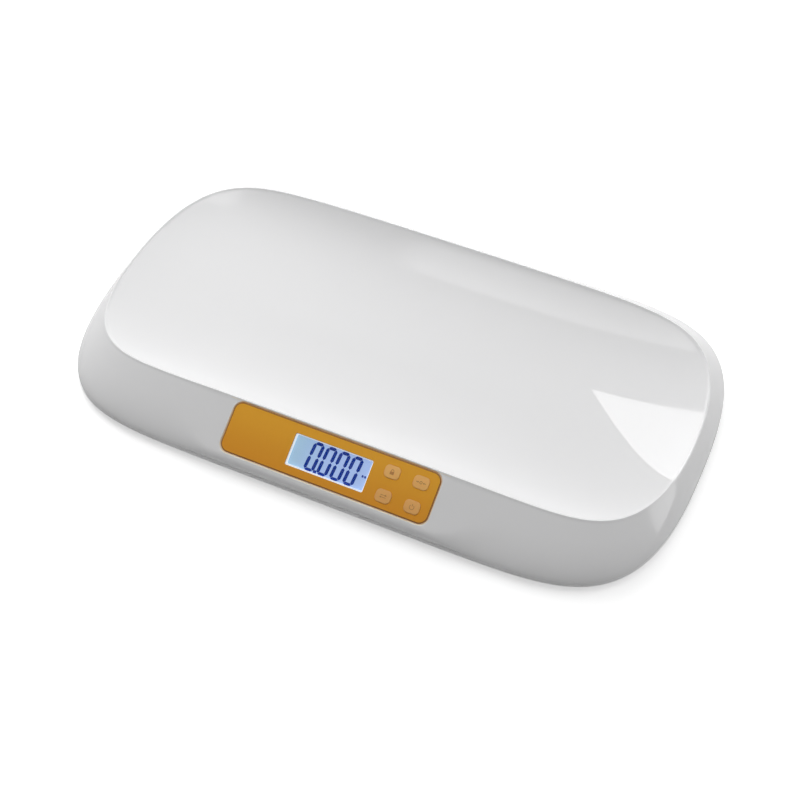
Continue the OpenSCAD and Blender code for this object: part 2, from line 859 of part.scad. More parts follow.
module battery_springs()
    color([0.78, 0.79, 0.80])
        for (i = [0 : battery_count - 1])
            translate([-cell_way(i) * well_x / 2, cell_y(i), cell_z])
                rotate([0, 90 * cell_way(i), 0]) {
                    tube_through(spring_path(spring_steps), spring_wire);
                    contact_plate();
                }

module battery_plates()
    color([0.78, 0.79, 0.80])
        for (i = [0 : battery_count - 1])
            translate([cell_way(i) * well_x / 2, cell_y(i), cell_z])
                rotate([0, -90 * cell_way(i), 0]) {
                    contact_plate();
                    cylinder(d = contact_dome_d, h = plate_room);
                }

// A point of the panel's frame, in the frame of the whole scale
function from_panel(x, y, z) = [
    x,
    panel_mid.x + y * cos(slope_angle) - z * sin(slope_angle),
    panel_mid.y + y * sin(slope_angle) + z * cos(slope_angle)
];

// Leads lie on the floor of the pan and rise to their sockets
lead_d = 2.2;
battery_lead_d = 1.6;
lead_gap = 0.1;
lead_bend = 6;
lead_out_x = 10;
lead_run = 14;
lead_z = pan_floor + lead_d / 2 + lead_gap;
function socket_end(s, shift) = from_panel(s.x + shift, s.y, -board_back - socket_t + 1);
function socket_turn(s, shift, back) =
    let (e = socket_end(s, shift))
    [e.x, e.y + back, lead_z];

module battery_lead()
    color([0.70, 0.12, 0.10])
        for (shift = [-battery_lead_d, battery_lead_d])
            tube_through(
                rounded_path([
                    [lead_out_x + shift, battery_y - well_y / 2 - well_wall - 2 * lead_gap, lead_z + 1],
                    [lead_out_x + shift, battery_y - well_y / 2 - lead_run, lead_z],
                    socket_turn(socket_spots[1], shift, lead_run),
                    socket_end(socket_spots[1], shift)
                ], lead_bend, 4), battery_lead_d);

module sensor_leads()
    color([0.85, 0.85, 0.86])
        for (side = [0, 1], row = [0, 1]) {
            sign_x = 2 * side - 1;
            spot = foot_spots[2 * row + side];
            socket = socket_spots[2 * side];
            shift = sign_x * (row == 0 ? 2.4 : -2.4);
            edge = spot.x - sign_x * (cell_side / 2 + cell_fit + pocket_wall - 0.5);
            tube_through(
                rounded_path(concat(
                    [[edge, spot.y, cell_low_z + lead_d / 2 + lead_gap]],
                    [[edge - sign_x * 12, spot.y, lead_z]],
                    row == 0 ? [] : [[edge - sign_x * 32, spot.y - 30, lead_z]],
                    row == 0 ? [] : [[edge - sign_x * 32, -foot_y + 14, lead_z]],
                    [socket_turn(socket, shift, row == 0 ? 11 : 18)],
                    [socket_end(socket, shift)]
                ), lead_bend, 4), lead_d);
        }

// ---- Feet and load cells ----

pad_edge = 0.4;
pad_fit = 0.1;
pad_sink = 0.6;
cap_edge = 0.8;
hub_d = 12;
module foot_pad(i)
    color([0.20, 0.20, 0.21])
        translate([foot_spots[i].x, foot_spots[i].y, 0])
            rotate_extrude()
                polygon([
                    [0, 0], [pad_d / 2 - pad_edge, 0], [pad_d / 2, pad_edge],
                    [pad_d / 2, pad_t], [0, pad_t]
                ]);

module foot_cap(i)
    color([0.86, 0.86, 0.87])
        translate([foot_spots[i].x, foot_spots[i].y, 0])
            rotate_extrude()
                polygon([
                    [0, pad_t], [pad_d / 2 + pad_fit, pad_t], [pad_d / 2 + pad_fit, pad_t - pad_sink],
                    [foot_d / 2 - cap_edge, pad_t - pad_sink], [foot_d / 2, pad_t + pad_edge],
                    [foot_d / 2, foot_top], [hub_d / 2, foot_top], [hub_d / 2, cell_low_z],
                    [pin_d / 2, cell_low_z], [pin_d / 2, cell_high_z + pin_rise],
                    [0, cell_high_z + pin_rise]
                ]);

// Steel plate with a slotted tongue: the frame is clamped, the tongue bears on the foot
tongue_w = 12;
slot_w = 2;
slot_edge = 5;
module load_cell(i)
    color([0.66, 0.67, 0.69])
        translate([foot_spots[i].x, foot_spots[i].y, cell_low_z])
            linear_extrude(cell_t)
                difference() {
                    square(cell_side, center = true);
                    for (x = [-1, 1] * (tongue_w / 2 + slot_w / 2))
                        translate([x, slot_w])
                            square([slot_w, cell_side - 2 * (slot_edge + slot_w)], center = true);
                    translate([0, cell_side / 2 - slot_edge - slot_w / 2])
                        square([tongue_w + 2 * slot_w, slot_w], center = true);
                    circle(d = pin_d + cell_fit);
                }

module cell_retainer(i)
    color([0.88, 0.88, 0.86])
        translate([foot_spots[i].x, foot_spots[i].y, cell_high_z])
            difference() {
                linear_extrude(retainer_t)
                    difference() {
                        square(cell_side + 2 * cell_fit + 2 * pocket_wall, center = true);
                        square(tongue_w + 4 * slot_w, center = true);
                    }
                for (turn = [0, 180])
                    rotate([0, 0, turn])
                        translate([cell_side / 2 - 3, -pocket_slot / 2, -1])
                            cube([8, pocket_slot, retainer_t]);
            }

// A gauge and its sealant on each tongue
gauge_side = 6;
gauge_back = 6.2;
gauge_t = 0.8;
module strain_gauges()
    color([0.90, 0.88, 0.80])
        for (p = foot_spots)
            translate([p.x - gauge_side / 2, p.y - gauge_side / 2 - gauge_back, cell_high_z])
                cube([gauge_side, gauge_side, gauge_t]);

// ---- Fasteners ----

module housing_screws()
    color([0.70, 0.70, 0.72])
        for (p = screw_spots)
            translate([p.x, p.y, base_clear + screw_sink]) {
                difference() {
                    cylinder(d = screw_head_d, h = screw_head_t);
                    for (turn = [0, 90])
                        rotate([0, 0, turn])
                            translate([-drive_w / 2, -drive_t / 2, -1])
                                cube([drive_w, drive_t, drive_depth + 1]);
                }
                cylinder(d = screw_d - thread_ease, h = post_low - base_clear - screw_sink + screw_bite);
            }

// ---- One line for each node ----

top_shell();
base_shell();
housing_screws();
display_overlay();
lcd_window();
lcd_frame();
lcd_glass();
lcd_backlight();
contact_strip();
main_board();
board_parts();
board_sockets();
board_screws();
for (i = [0 : 3]) {
    key_cap(i);
    plunger(i);
    key_switch(i);
}
battery_cover();
battery_cells();
battery_springs();
battery_plates();
battery_lead();
for (i = [0 : 3]) {
    foot_pad(i);
    foot_cap(i);
    load_cell(i);
    cell_retainer(i);
}
strain_gauges();
sensor_leads();
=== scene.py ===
"""Digital baby weighing scale: the looks of its housing, display panel, keys and feet."""

import json
import math

import bpy
import numpy as np
from mathutils import Matrix, Vector


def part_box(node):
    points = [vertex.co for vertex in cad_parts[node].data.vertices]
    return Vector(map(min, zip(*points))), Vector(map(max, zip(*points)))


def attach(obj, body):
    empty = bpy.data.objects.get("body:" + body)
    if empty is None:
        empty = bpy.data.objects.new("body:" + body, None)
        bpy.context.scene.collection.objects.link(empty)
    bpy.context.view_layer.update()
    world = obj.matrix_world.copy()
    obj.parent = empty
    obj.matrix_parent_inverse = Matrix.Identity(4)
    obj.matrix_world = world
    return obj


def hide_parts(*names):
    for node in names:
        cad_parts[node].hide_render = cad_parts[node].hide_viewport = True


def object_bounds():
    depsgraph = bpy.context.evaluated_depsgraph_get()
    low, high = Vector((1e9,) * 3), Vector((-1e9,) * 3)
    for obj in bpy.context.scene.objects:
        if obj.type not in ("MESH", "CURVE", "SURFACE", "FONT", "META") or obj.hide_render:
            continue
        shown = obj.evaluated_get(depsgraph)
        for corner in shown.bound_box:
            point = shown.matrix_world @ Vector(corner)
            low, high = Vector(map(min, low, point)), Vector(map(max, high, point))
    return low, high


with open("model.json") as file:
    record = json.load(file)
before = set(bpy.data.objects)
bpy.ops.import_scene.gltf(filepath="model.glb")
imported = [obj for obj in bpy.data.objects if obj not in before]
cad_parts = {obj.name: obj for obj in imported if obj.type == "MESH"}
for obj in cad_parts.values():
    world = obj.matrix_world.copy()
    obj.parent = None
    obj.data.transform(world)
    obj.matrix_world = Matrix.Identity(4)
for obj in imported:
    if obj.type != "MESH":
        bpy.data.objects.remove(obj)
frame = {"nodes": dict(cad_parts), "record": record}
CAD_LOW, CAD_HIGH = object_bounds()
MM = 0.001

bl_info = {
    "name": "Baby weighing scale",
    "version": (1, 0, 0),
    "blender": (4, 5, 0),
    "location": "View3D > Sidebar > Baby scale",
    "description": "Builds a dished baby weighing scale with a sloped display panel",
    "category": "Add Mesh",
}


# ---- Sizes and colours ----


def length(name, description, default):
    return bpy.props.FloatProperty(
        name=name, description=description, default=default,
        min=0, unit="LENGTH", subtype="DISTANCE")


def colour(name, description, default):
    return bpy.props.FloatVectorProperty(
        name=name, description=description, default=default,
        size=3, min=0, max=1, subtype="COLOR")


class ScaleHousingSizes(bpy.types.PropertyGroup):
    """Sizes of the two mouldings"""

    body_len: length("Body length", "Overall length of the housing", CAD_HIGH.x - CAD_LOW.x)
    body_wid: length("Body width", "Overall width of the housing", CAD_HIGH.y - CAD_LOW.y)
    rim_h: length("Rim height", "Height of the rim above the table at mid-length", CAD_HIGH.z)
    rim_drop: length("Rim drop", "How much lower the rim is at its two ends", 9 * MM)
    tray_len: length("Tray length", "Inside length of the tray at the rim", 523 * MM)
    tray_wid: length("Tray width", "Inside width of the tray at the rim", 239 * MM)
    tray_shift: length("Tray shift", "How far the tray sits behind the housing's middle", 8 * MM)
    tray_floor_h: length("Tray floor height", "Height of the tray's floor above the table", 23 * MM)
    rim_wid: length("Rim width", "Width of the rounded rim", 2.5 * MM)
    wall: length("Wall", "Wall thickness of the upper moulding", 2.8 * MM)
    bend_h: length("Bend height", "Height of the bend below the sloped skirt", 17 * MM)
    seam_h: length("Seam height", "Height of the joint between the two mouldings", 8.5 * MM)
    seam_gap: length("Seam gap", "Open line left at that joint", 0.3 * MM)
    base_clear: length("Base clearance", "Clearance between the table and the base pan", 4 * MM)


class ScalePanelSizes(bpy.types.PropertyGroup):
    """Sizes of the display panel"""

    panel_w: length("Panel length", "Length of the printed overlay", 187 * MM)
    panel_h: length("Panel height", "Height of the overlay along the slope", 43 * MM)
    panel_r: length("Panel corner", "Corner radius of the overlay", 8 * MM)
    panel_rise: length("Panel rise", "How far the overlay sits above mid-slope", 2.2 * MM)
    reach: length("Overlay reach", "How far its upper edge lies above its solid", 1.1 * MM)
    groove: length("Groove", "Open line between the overlay and its recess", 0.15 * MM)
    lip: length("Lip", "Width of the bevelled lip round the recess", 1.2 * MM)
    recess_d: length("Recess depth", "Depth of the recess that the overlay lies in", 1.3 * MM)
    overlay_t: length("Overlay thickness", "Thickness of the overlay", 1 * MM)
    lcd_w: length("Window length", "Length of the display window", 70 * MM)
    lcd_h: length("Window height", "Height of the display window", 27.5 * MM)
    ledge: length("Window ledge", "Ledge that the window rests on", 0.3 * MM)
    glass_depth: length("Glass depth", "Depth of the display glass below the wall", 3.15 * MM)
    key_w: length("Key width", "Width of a key cap", 13.5 * MM)
    key_h: length("Key height", "Height of a key cap", 10.8 * MM)
    key_r: length("Key corner", "Corner radius of a key cap", 3.8 * MM)
    key_proud: length("Key height above the overlay", "How far a key stands above it", 0.5 * MM)


class ScaleFinishes(bpy.types.PropertyGroup):
    """Colours of the plastics and the print, and the painted light and shade on the panel"""

    shell: colour("Shell", "Glossy white moulding", (0.86, 0.86, 0.865))
    base: colour("Base", "Fine-textured white moulding", (0.93, 0.93, 0.935))
    # Painted light and shade: one amber print, painted lighter at its upper edge and darker at its
    # lower edge
    print_painted_light: colour("Overlay, top", "Amber print at the upper edge", (0.90, 0.42, 0.018))
    print_painted_shade: colour("Overlay, bottom", "Amber print at the lower edge", (0.80, 0.32, 0.008))
    # Painted shade: the dark line along the overlay's rounded edge, where it meets its groove
    edge_painted_shade: colour("Overlay, border", "Dark line printed round the overlay", (0.30, 0.115, 0.008))
    # Painted highlight and painted amber reflection on the white bevel round the overlay
    lip: colour("Panel lip", "Bevel round the overlay, tinted by it", (0.98, 0.84, 0.64))
    key: colour("Key", "Key caps", (0.95, 0.49, 0.14))
    mark: colour("Key mark", "Printed marks on the key caps", (0.55, 0.24, 0.06))
    pale: colour("Display, left", "Display glass at its left edge", (0.36, 0.53, 0.665))
    lit: colour("Display", "Lit display glass", (0.385, 0.505, 0.79))
    digit: colour("Digits", "Dark display segments", (0.004, 0.050, 0.42))


class ScaleStageSettings(bpy.types.PropertyGroup):
    """Camera and light levels"""

    azimuth: bpy.props.FloatProperty(
        name="Azimuth", description="Camera's turn round the scale",
        default=math.radians(24.797), subtype="ANGLE")
    elevation: bpy.props.FloatProperty(
        name="Elevation", description="Camera's height above the horizon",
        default=math.radians(49.955), subtype="ANGLE")
    distance: length("Distance", "Camera's distance from its target", 1.3154)
    lens: bpy.props.FloatProperty(
        name="Lens", description="Focal length for a sensor 36 mm wide",
        default=67.553, subtype="DISTANCE_CAMERA")
    light: bpy.props.FloatProperty(
        name="Light", description="Level of all the lamps together",
        default=1, min=0, subtype="FACTOR")
    air: bpy.props.FloatProperty(
        name="Room light", description="Strength of the even light from all round",
        default=0.165, min=0, subtype="FACTOR")


# ---- Shader expressions ----


class Wire:
    """A shader socket on which Python's arithmetic adds Math nodes"""

    def __init__(self, finish, socket):
        self.finish, self.socket = finish, socket

    def _math(self, operation, *terms):
        return self.finish.node("ShaderNodeMath", {"operation": operation}, dict(enumerate(terms)))

    def __add__(self, other):
        return self._math("ADD", self, other)

    __radd__ = __add__

    def __sub__(self, other):
        return self._math("SUBTRACT", self, other)

    def __rsub__(self, other):
        return self._math("SUBTRACT", other, self)

    def __mul__(self, other):
        return self._math("MULTIPLY", self, other)

    __rmul__ = __mul__

    def __truediv__(self, other):
        return self._math("DIVIDE", self, other)

    def __gt__(self, other):
        return self._math("GREATER_THAN", self, other)

    def smooth(self, low, high):
        """0 below low, 1 above high and an even curve between"""
        settings = {"interpolation_type": "SMOOTHSTEP"}
        return self.finish.node("ShaderNodeMapRange", settings, {0: self, 1: low, 2: high})


class Finish:
    """One procedural material, or the room's own shader"""

    def __init__(self, name, owner=None):
        self.owner = owner or bpy.data.materials.new(name)
        self.owner.use_nodes = True
        self.tree = self.owner.node_tree
        self.tree.nodes.clear()

    def node(self, kind, settings=None, inputs=None, output=0):
        """Adds any node: its settings first, then the values or links of its sockets"""
        made = self.tree.nodes.new(kind)
        for name, value in (settings or {}).items():
            setattr(made, name, value)
        for name, value in (inputs or {}).items():
            self.feed(made.inputs[name], value)
        return Wire(self, made.outputs[output]) if made.outputs else made

    def feed(self, socket, value):
        if isinstance(value, Wire):
            self.tree.links.new(value.socket, socket)
        elif socket.type == "RGBA":
            socket.default_value = (*value, 1)
        else:
            socket.default_value = value

    def place(self):
        """Position on the object, in metres"""
        return self.node("ShaderNodeTexCoord", output="Object")

    def vector(self, operation, terms, output=0):
        settings = {"operation": operation}
        return self.node("ShaderNodeVectorMath", settings, dict(enumerate(terms)), output)

    def noise(self, scale, detail=2, stretch=None):
        """Noise on the object, drawn out along an axis where stretch is small"""
        place = self.place()
        if stretch:
            place = self.vector("MULTIPLY", (place, stretch))
        inputs = {"Vector": place, "Scale": scale, "Detail": detail}
        return self.node("ShaderNodeTexNoise", inputs=inputs)

    def along(self, origin, direction):
        """Distance of the place from origin along direction"""
        away = self.vector("SUBTRACT", (self.place(), origin))
        return self.vector("DOT_PRODUCT", (away, direction), "Value")

    def from_middle(self):
        """Distance of the place from the object's origin"""
        return self.vector("LENGTH", (self.place(),), "Value")

    def mix(self, share, low, high):
        """The colour low where share is 0 and high where it is 1"""
        return self.node("ShaderNodeMix", {"data_type": "RGBA"}, {0: share, 6: low, 7: high}, 2)

    def bump(self, height, strength, distance):
        inputs = {"Height": height, "Strength": strength, "Distance": distance}
        return self.node("ShaderNodeBump", inputs=inputs)

    def surface(self, **values):
        """Ends the material in a Principled shader with these socket values"""
        inputs = {name.replace("_", " "): value for name, value in values.items()}
        shader = self.node("ShaderNodeBsdfPrincipled", inputs=inputs)
        return self.end(shader)

    def end(self, shader, kind="ShaderNodeOutputMaterial"):
        self.node(kind, inputs={"Surface": shader})
        return self.owner


def toned(tint, factor):
    """A colour made darker or lighter, with no channel over 1"""
    return [min(1, c * factor) for c in tint]


def moulded_white(name, base, roughness, grain, grain_depth):
    """White plastic: a faint cloud in its tint and gloss, and the grain of the mould"""
    finish = Finish(name)
    cloud = finish.noise(7, 3)
    speck = finish.noise(grain, 2)
    return finish.surface(
        Base_Color=finish.mix(cloud, toned(base, 0.985), toned(base, 1.012)),
        Roughness=roughness + 0.035 * cloud + 0.02 * speck,
        IOR=1.49,
        Normal=finish.bump(speck, 0.25, grain_depth),
    )


def amber_print(panel):
    """Amber overlay print under a clear gloss, with painted shade that darkens it down the slope"""
    colours = bpy.context.scene.scale_finishes
    finish = Finish("amber_overlay")
    rise = finish.along(panel.mid, panel.up) / panel.height + 0.5
    grain = finish.noise(260, 3)
    # Painted shade: the print darkens down the slope, as the light falls on it
    tone = finish.mix(rise.smooth(0.0, 1.0), colours.print_painted_shade, colours.print_painted_light)
    tone = finish.mix(grain * 0.10, tone, toned(colours.print_painted_shade, 0.8))
    return finish.surface(
        Base_Color=tone,
        Roughness=0.38 + 0.06 * grain,
        Specular_IOR_Level=0.35,
        Coat_Weight=0.12,
        Coat_Roughness=0.1,
        Normal=finish.bump(finish.noise(1500, 1), 0.15, 0.02 * MM),
    )


def key_plastic(panel):
    """Amber caps with painted light: a little paler up the slope and darker down it"""
    colours = bpy.context.scene.scale_finishes
    finish = Finish("key_plastic")
    cloud = finish.noise(420, 3)
    rise = finish.along(panel.mid, panel.up) / panel.height + 0.5
    # Painted light and shade: caps up the slope paler, caps down it darker
    tone = finish.mix(rise.smooth(0.1, 0.9), toned(colours.key, 0.9), toned(colours.key, 1.1))
    return finish.surface(
        Base_Color=finish.mix(cloud * 0.3, tone, toned(colours.key, 0.8)),
        Roughness=0.34 + 0.08 * cloud,
        Subsurface_Weight=0.1,
        Subsurface_Scale=1 * MM,
        Normal=finish.bump(finish.noise(2400, 1), 0.2, 0.02 * MM),
    )


def ink_and_painted_light(name, tint, roughness=0.4, gloss=0.5):
    """Printed ink with a faint mottle, also used for the painted highlight and painted shade on the
    panel
    """
    finish = Finish(name)
    mottle = finish.noise(900, 2)
    return finish.surface(
        Base_Color=finish.mix(mottle, toned(tint, 0.85), toned(tint, 1.1)),
        Roughness=roughness + 0.05 * mottle,
        Specular_IOR_Level=gloss,
    )


def lit_glass(panel):
    """Display glass, lit from behind: paler at its left, blue at its right"""
    colours = bpy.context.scene.scale_finishes
    sizes = bpy.context.scene.scale_panel
    finish = Finish("lit_glass")
    across = finish.along(panel.mid, panel.right) / sizes.lcd_w + 0.5
    mottle = finish.noise(60, 2)
    tone = finish.mix(across.smooth(0.0, 0.5) * (0.8 + 0.4 * mottle), colours.pale, colours.lit)
    return finish.surface(
        Base_Color=tone,
        Roughness=0.18 + 0.04 * mottle,
        Emission_Color=tone,
        Emission_Strength=0.4,
    )


def liner_painted_glow():
    """White plastic with a painted glow for the display's light shining through it into the shaded
    opening
    """
    finish = Finish("display_liner")
    cloud = finish.noise(120, 3)
    tone = finish.mix(cloud, (0.84, 0.87, 0.90), (0.93, 0.95, 0.96))
    # Painted glow: the emission lifts the shaded opening as the backlight would
    return finish.surface(
        Base_Color=tone,
        Roughness=0.3 + 0.1 * cloud,
        Emission_Color=tone,
        Emission_Strength=0.45,
    )


def clear_window():
    """Clear plastic: nothing but its gloss shows"""
    finish = Finish("clear_window")
    gloss = finish.node("ShaderNodeBsdfGlossy", inputs={"Color": (1, 1, 1), "Roughness": 0.04})
    clear = finish.node("ShaderNodeBsdfTransparent", inputs={"Color": (0.97, 0.985, 1.0)})
    rim = finish.node("ShaderNodeFresnel", inputs={"IOR": 1.45})
    smear = finish.noise(30, 2)
    share = rim * (0.2 + 0.1 * smear)
    return finish.end(finish.node("ShaderNodeMixShader", inputs={0: share, 1: clear, 2: gloss}))


def soft_rubber():
    """Dark rubber with a bloom of dust"""
    finish = Finish("soft_rubber")
    dust = finish.noise(700, 4)
    tone = finish.mix(dust.smooth(0.45, 0.8), (0.030, 0.030, 0.033), (0.085, 0.085, 0.09))
    return finish.surface(
        Base_Color=tone,
        Roughness=0.72 + 0.15 * dust,
        Normal=finish.bump(dust, 0.4, 0.05 * MM),
    )


def metal(name, tint, roughness, brushed):
    """Bare metal, its fine lines drawn out along an axis where brushed is small"""
    finish = Finish(name)
    lines = finish.noise(500, 2, brushed)
    return finish.surface(
        Base_Color=finish.mix(lines, toned(tint, 0.85), tint),
        Metallic=1.0,
        Roughness=roughness + 0.12 * lines,
        Normal=finish.bump(lines, 0.15, 0.02 * MM),
    )


def plastic(name, tint, roughness=0.45):
    """Plain moulded plastic"""
    finish = Finish(name)
    cloud = finish.noise(150, 3)
    return finish.surface(
        Base_Color=finish.mix(cloud, toned(tint, 0.88), toned(tint, 1.08)),
        Roughness=roughness + 0.08 * cloud,
        Normal=finish.bump(finish.noise(1800, 1), 0.2, 0.03 * MM),
    )


def board_green():
    """Solder mask with faint copper runs under it"""
    finish = Finish("board_green")
    runs = finish.noise(240, 0, (1, 0.08, 1))
    return finish.surface(
        Base_Color=finish.mix(runs > 0.55, (0.020, 0.16, 0.06), (0.035, 0.25, 0.09)),
        Roughness=0.3 + 0.1 * runs,
        Coat_Weight=0.3,
    )


# ---- Shapes ----

# How a ring's points are spread: by length on a ring of this aspect, and by turn with this weight
RING_POINTS, FINE_STEPS = 320, 4000
RING_ASPECT, TURN_WEIGHT = 1.9, 1.2
TINY = 1e-9

# Powers of the two outlines along x and y, and of the rim's drop towards its ends
BODY_POWERS, TRAY_POWERS = (7.4, 2.65), (9.2, 2.2)
DROP_POWER = 3

# The rim's rounding, the tray's flat middle and trough, and its rise as parts and their powers
RIM_EDGE, RIM_ROUND = 0.9 * MM, 1.5
FLAT_SHARE, TROUGH = 0.12, 1.35
DISH_RISE = ((0.55, 2), (0.45, 6))

# Where down the skirt its bend starts and how far that drops, beside the panel and away from it
BEND_START, BEND_DROP = 0.9, 4.5 * MM
WIDE_BEND_START, WIDE_BEND_DROP = 0.35, 7.5 * MM
BESIDE_PANEL = (100 * MM, 140 * MM)
BACK_OF_WIDE_BEND, FRONT_OF_WIDE_BEND = 0.5, -0.2

# How far the upper moulding's wall is drawn in at the seam, and the least corner radius
SEAM_DRAFT = 0.9 * MM
LEAST_R = 0.05 * MM


def ring_shares(count):
    """Cosines and sines at which a ring's points are spaced evenly by length and by turn"""
    n, m = (BODY_POWERS[0] + TRAY_POWERS[0]) / 2, (BODY_POWERS[1] + TRAY_POWERS[1]) / 2
    even = np.linspace(0, 1, FINE_STEPS)
    low = np.arcsin((even * 0.5 ** (1 / m)) ** (m / 2))
    high = np.arccos(((1 - even) * 0.5 ** (1 / n)) ** (n / 2))
    angle = np.concatenate([low, high[1:]])
    x = RING_ASPECT * np.cos(angle) ** (2 / n)
    y = np.sin(angle) ** (2 / m)
    step = np.hypot(np.diff(x), np.diff(y))
    turn = np.abs(np.diff(np.unwrap(np.arctan2(np.diff(y), np.diff(x))), append=math.pi))
    turn[-1] = 0
    weight = step / step.sum() + TURN_WEIGHT * turn / turn.sum()
    reach = np.concatenate([[0], np.cumsum(weight)]) / weight.sum()
    quarter = np.interp(np.linspace(0, 1, count // 4 + 1), reach, angle)
    half = np.concatenate([quarter, math.pi - quarter[-2::-1]])
    full = np.concatenate([half[:-1], 2 * math.pi - half[:0:-1]])
    cosines, sines = np.cos(full), np.sin(full)
    cosines[np.abs(cosines) < TINY] = 0
    sines[np.abs(sines) < TINY] = 0
    return cosines, sines


COSINES, SINES = ring_shares(RING_POINTS)


def mixed(low, high, share):
    return low + (high - low) * share


def eased(share):
    """A share of 0 to 1 with an even start and end"""
    return share**2 * (3 - 2 * share)


def oblong(a, b, powers, shift, mid, end):
    """Ring |x/a|^n + |y/b|^m = 1 round y = shift, at a height that runs from mid to end along x"""
    x = a * np.sign(COSINES) * np.abs(COSINES) ** (2 / powers[0])
    y = shift + b * np.sign(SINES) * np.abs(SINES) ** (2 / powers[1])
    return np.stack([x, y, mid + (end - mid) * np.abs(x / a) ** DROP_POWER], -1)


class Housing:
    """Rings of the two mouldings"""

    def __init__(self, sizes):
        self.s = sizes
        self.body_a, self.body_b = sizes.body_len / 2, sizes.body_wid / 2
        self.tray_a, self.tray_b = sizes.tray_len / 2, sizes.tray_wid / 2
        self.edge_h = sizes.rim_h - RIM_EDGE
        away = self.body_a * np.abs(COSINES) ** (2 / BODY_POWERS[0]) - BESIDE_PANEL[0]
        away = np.clip(away / (BESIDE_PANEL[1] - BESIDE_PANEL[0]), 0, 1)
        share_y = np.sign(SINES) * np.abs(SINES) ** (2 / BODY_POWERS[1])
        front = (BACK_OF_WIDE_BEND - share_y) / (BACK_OF_WIDE_BEND - FRONT_OF_WIDE_BEND)
        wide = eased(away) * eased(np.clip(front, 0, 1))
        self.bend_start = mixed(BEND_START, WIDE_BEND_START, wide)
        self.bend_drop = mixed(BEND_DROP, WIDE_BEND_DROP, wide)
        self.upright_h = sizes.bend_h - self.bend_drop

    def level(self, inset, z):
        """Level ring inside the housing's outline"""
        return oblong(self.body_a - inset, self.body_b - inset, BODY_POWERS, 0, z, z)

    def rim(self, out, down):
        """Ring outside the tray's edge and below the rim's top"""
        s = self.s
        a, b = self.tray_a + out, self.tray_b + out
        top = s.rim_h - down
        return oblong(a, b, TRAY_POWERS, s.tray_shift, top, top - s.rim_drop)

    def dish(self, share, down=0):
        """Ring of the tray at a share of the way from its middle to its edge"""
        s = self.s
        q = (share - FLAT_SHARE) / (1 - FLAT_SHARE)
        rise = sum(part * q**power for part, power in DISH_RISE)
        mid = mixed(s.tray_floor_h, self.edge_h, rise) - down
        end = mixed(s.tray_floor_h, self.edge_h - s.rim_drop, rise) - down
        a = self.tray_a - TROUGH * self.tray_b * (1 - share)
        return oblong(a, self.tray_b * share, TRAY_POWERS, s.tray_shift, mid, end)

    def skirt(self, share, inset=0, down=0):
        """Ring at a share of the way down the slope from the rim to the wall"""
        s = self.s
        a = mixed(self.tray_a + s.rim_wid, self.body_a, share) - inset
        b = mixed(self.tray_b + s.rim_wid, self.body_b, share) - inset
        powers = [mixed(t, w, share) for t, w in zip(TRAY_POWERS, BODY_POWERS)]
        mid = mixed(self.edge_h, s.bend_h, share) - down
        end = mixed(self.edge_h - s.rim_drop, s.bend_h, share) - down
        return oblong(a, b, powers, mixed(s.tray_shift, 0, share), mid, end)

    def bend(self, u, inset=0, down=0):
        """The skirt turns upright over its last stretch, which is short beside the panel"""
        ring = self.skirt(1 - (1 - u) ** 2 * (1 - self.bend_start), inset, down)
        ring[:, 2] -= u**2 * self.bend_drop
        return ring


class PanelPlace:
    """The display panel's own axes: right along it, up the slope, out of the wall"""

    def __init__(self, housing, panel):
        s = housing.s
        top = Vector((0, s.tray_shift - housing.tray_b - s.rim_wid, housing.edge_h))
        low = Vector((0, -housing.body_b, s.bend_h))
        self.right = Vector((1, 0, 0))
        self.up = (top - low).normalized()
        self.out = self.right.cross(self.up)
        self.mid = (top + low) / 2 + self.up * panel.panel_rise
        self.height = panel.panel_h

    def matrix(self, x=0, y=0):
        turn = Matrix((self.right, self.up, self.out)).transposed().to_4x4()
        return Matrix.Translation(self.mid + self.right * x + self.up * y) @ turn


def rounded_rect(w, h, r, steps=8):
    """Points of a rectangle with round corners, anticlockwise"""
    points = []
    for corner, (x, y) in enumerate(((1, 1), (-1, 1), (-1, -1), (1, -1))):
        for i in range(steps + 1):
            t = math.pi / 2 * (corner + i / steps)
            points.append((x * (w / 2 - r) + r * math.cos(t), y * (h / 2 - r) + r * math.sin(t)))
    return points


def rect_stack(w, h, r, levels, steps=8):
    """Rings of a rounded plate: each level pairs how far a ring lies inside it and its height"""
    rings = []
    for inset, z in levels:
        outline = rounded_rect(w - 2 * inset, h - 2 * inset, max(r - inset, LEAST_R), steps)
        rings.append(np.array([(x, y, z) for x, y in outline]))
    return rings


def round_stack(profile, steps):
    """Rings of a turned piece: profile holds pairs of radius and height"""
    turn = np.linspace(0, 2 * math.pi, steps, endpoint=False)
    return [np.stack([r * np.cos(turn), r * np.sin(turn), np.full(steps, z)], -1)
            for r, z in profile]


def softened(z_low, z_high, radius, steps=4):
    """Levels of a plate whose upper edge is rounded"""
    turns = [math.pi / 2 * i / steps for i in range(steps + 1)]
    return [(0, z_low)] + [
        (radius * (1 - math.cos(t)), z_high - radius * (1 - math.sin(t))) for t in turns]


SHARP_ANGLE = math.radians(30)
KEY_ROWS = {"hold": 1, "tare": 1, "unit": -1, "power": -1}


def new_piece(name, verts, faces, finishes, place=None):
    """A shown mesh, smooth but for its sharp edges"""
    mesh = bpy.data.meshes.new(name)
    mesh.from_pydata([tuple(v) for v in verts], [], faces)
    mesh.validate()
    if place is not None:
        mesh.transform(place)
    piece = bpy.data.objects.new(name, mesh)
    bpy.context.scene.collection.objects.link(piece)
    for finish in finishes:
        mesh.materials.append(finish)
    smooth(piece)
    return piece


def smooth(piece):
    piece.data.polygons.foreach_set("use_smooth", [True] * len(piece.data.polygons))
    piece.data.set_sharp_from_angle(angle=SHARP_ANGLE)


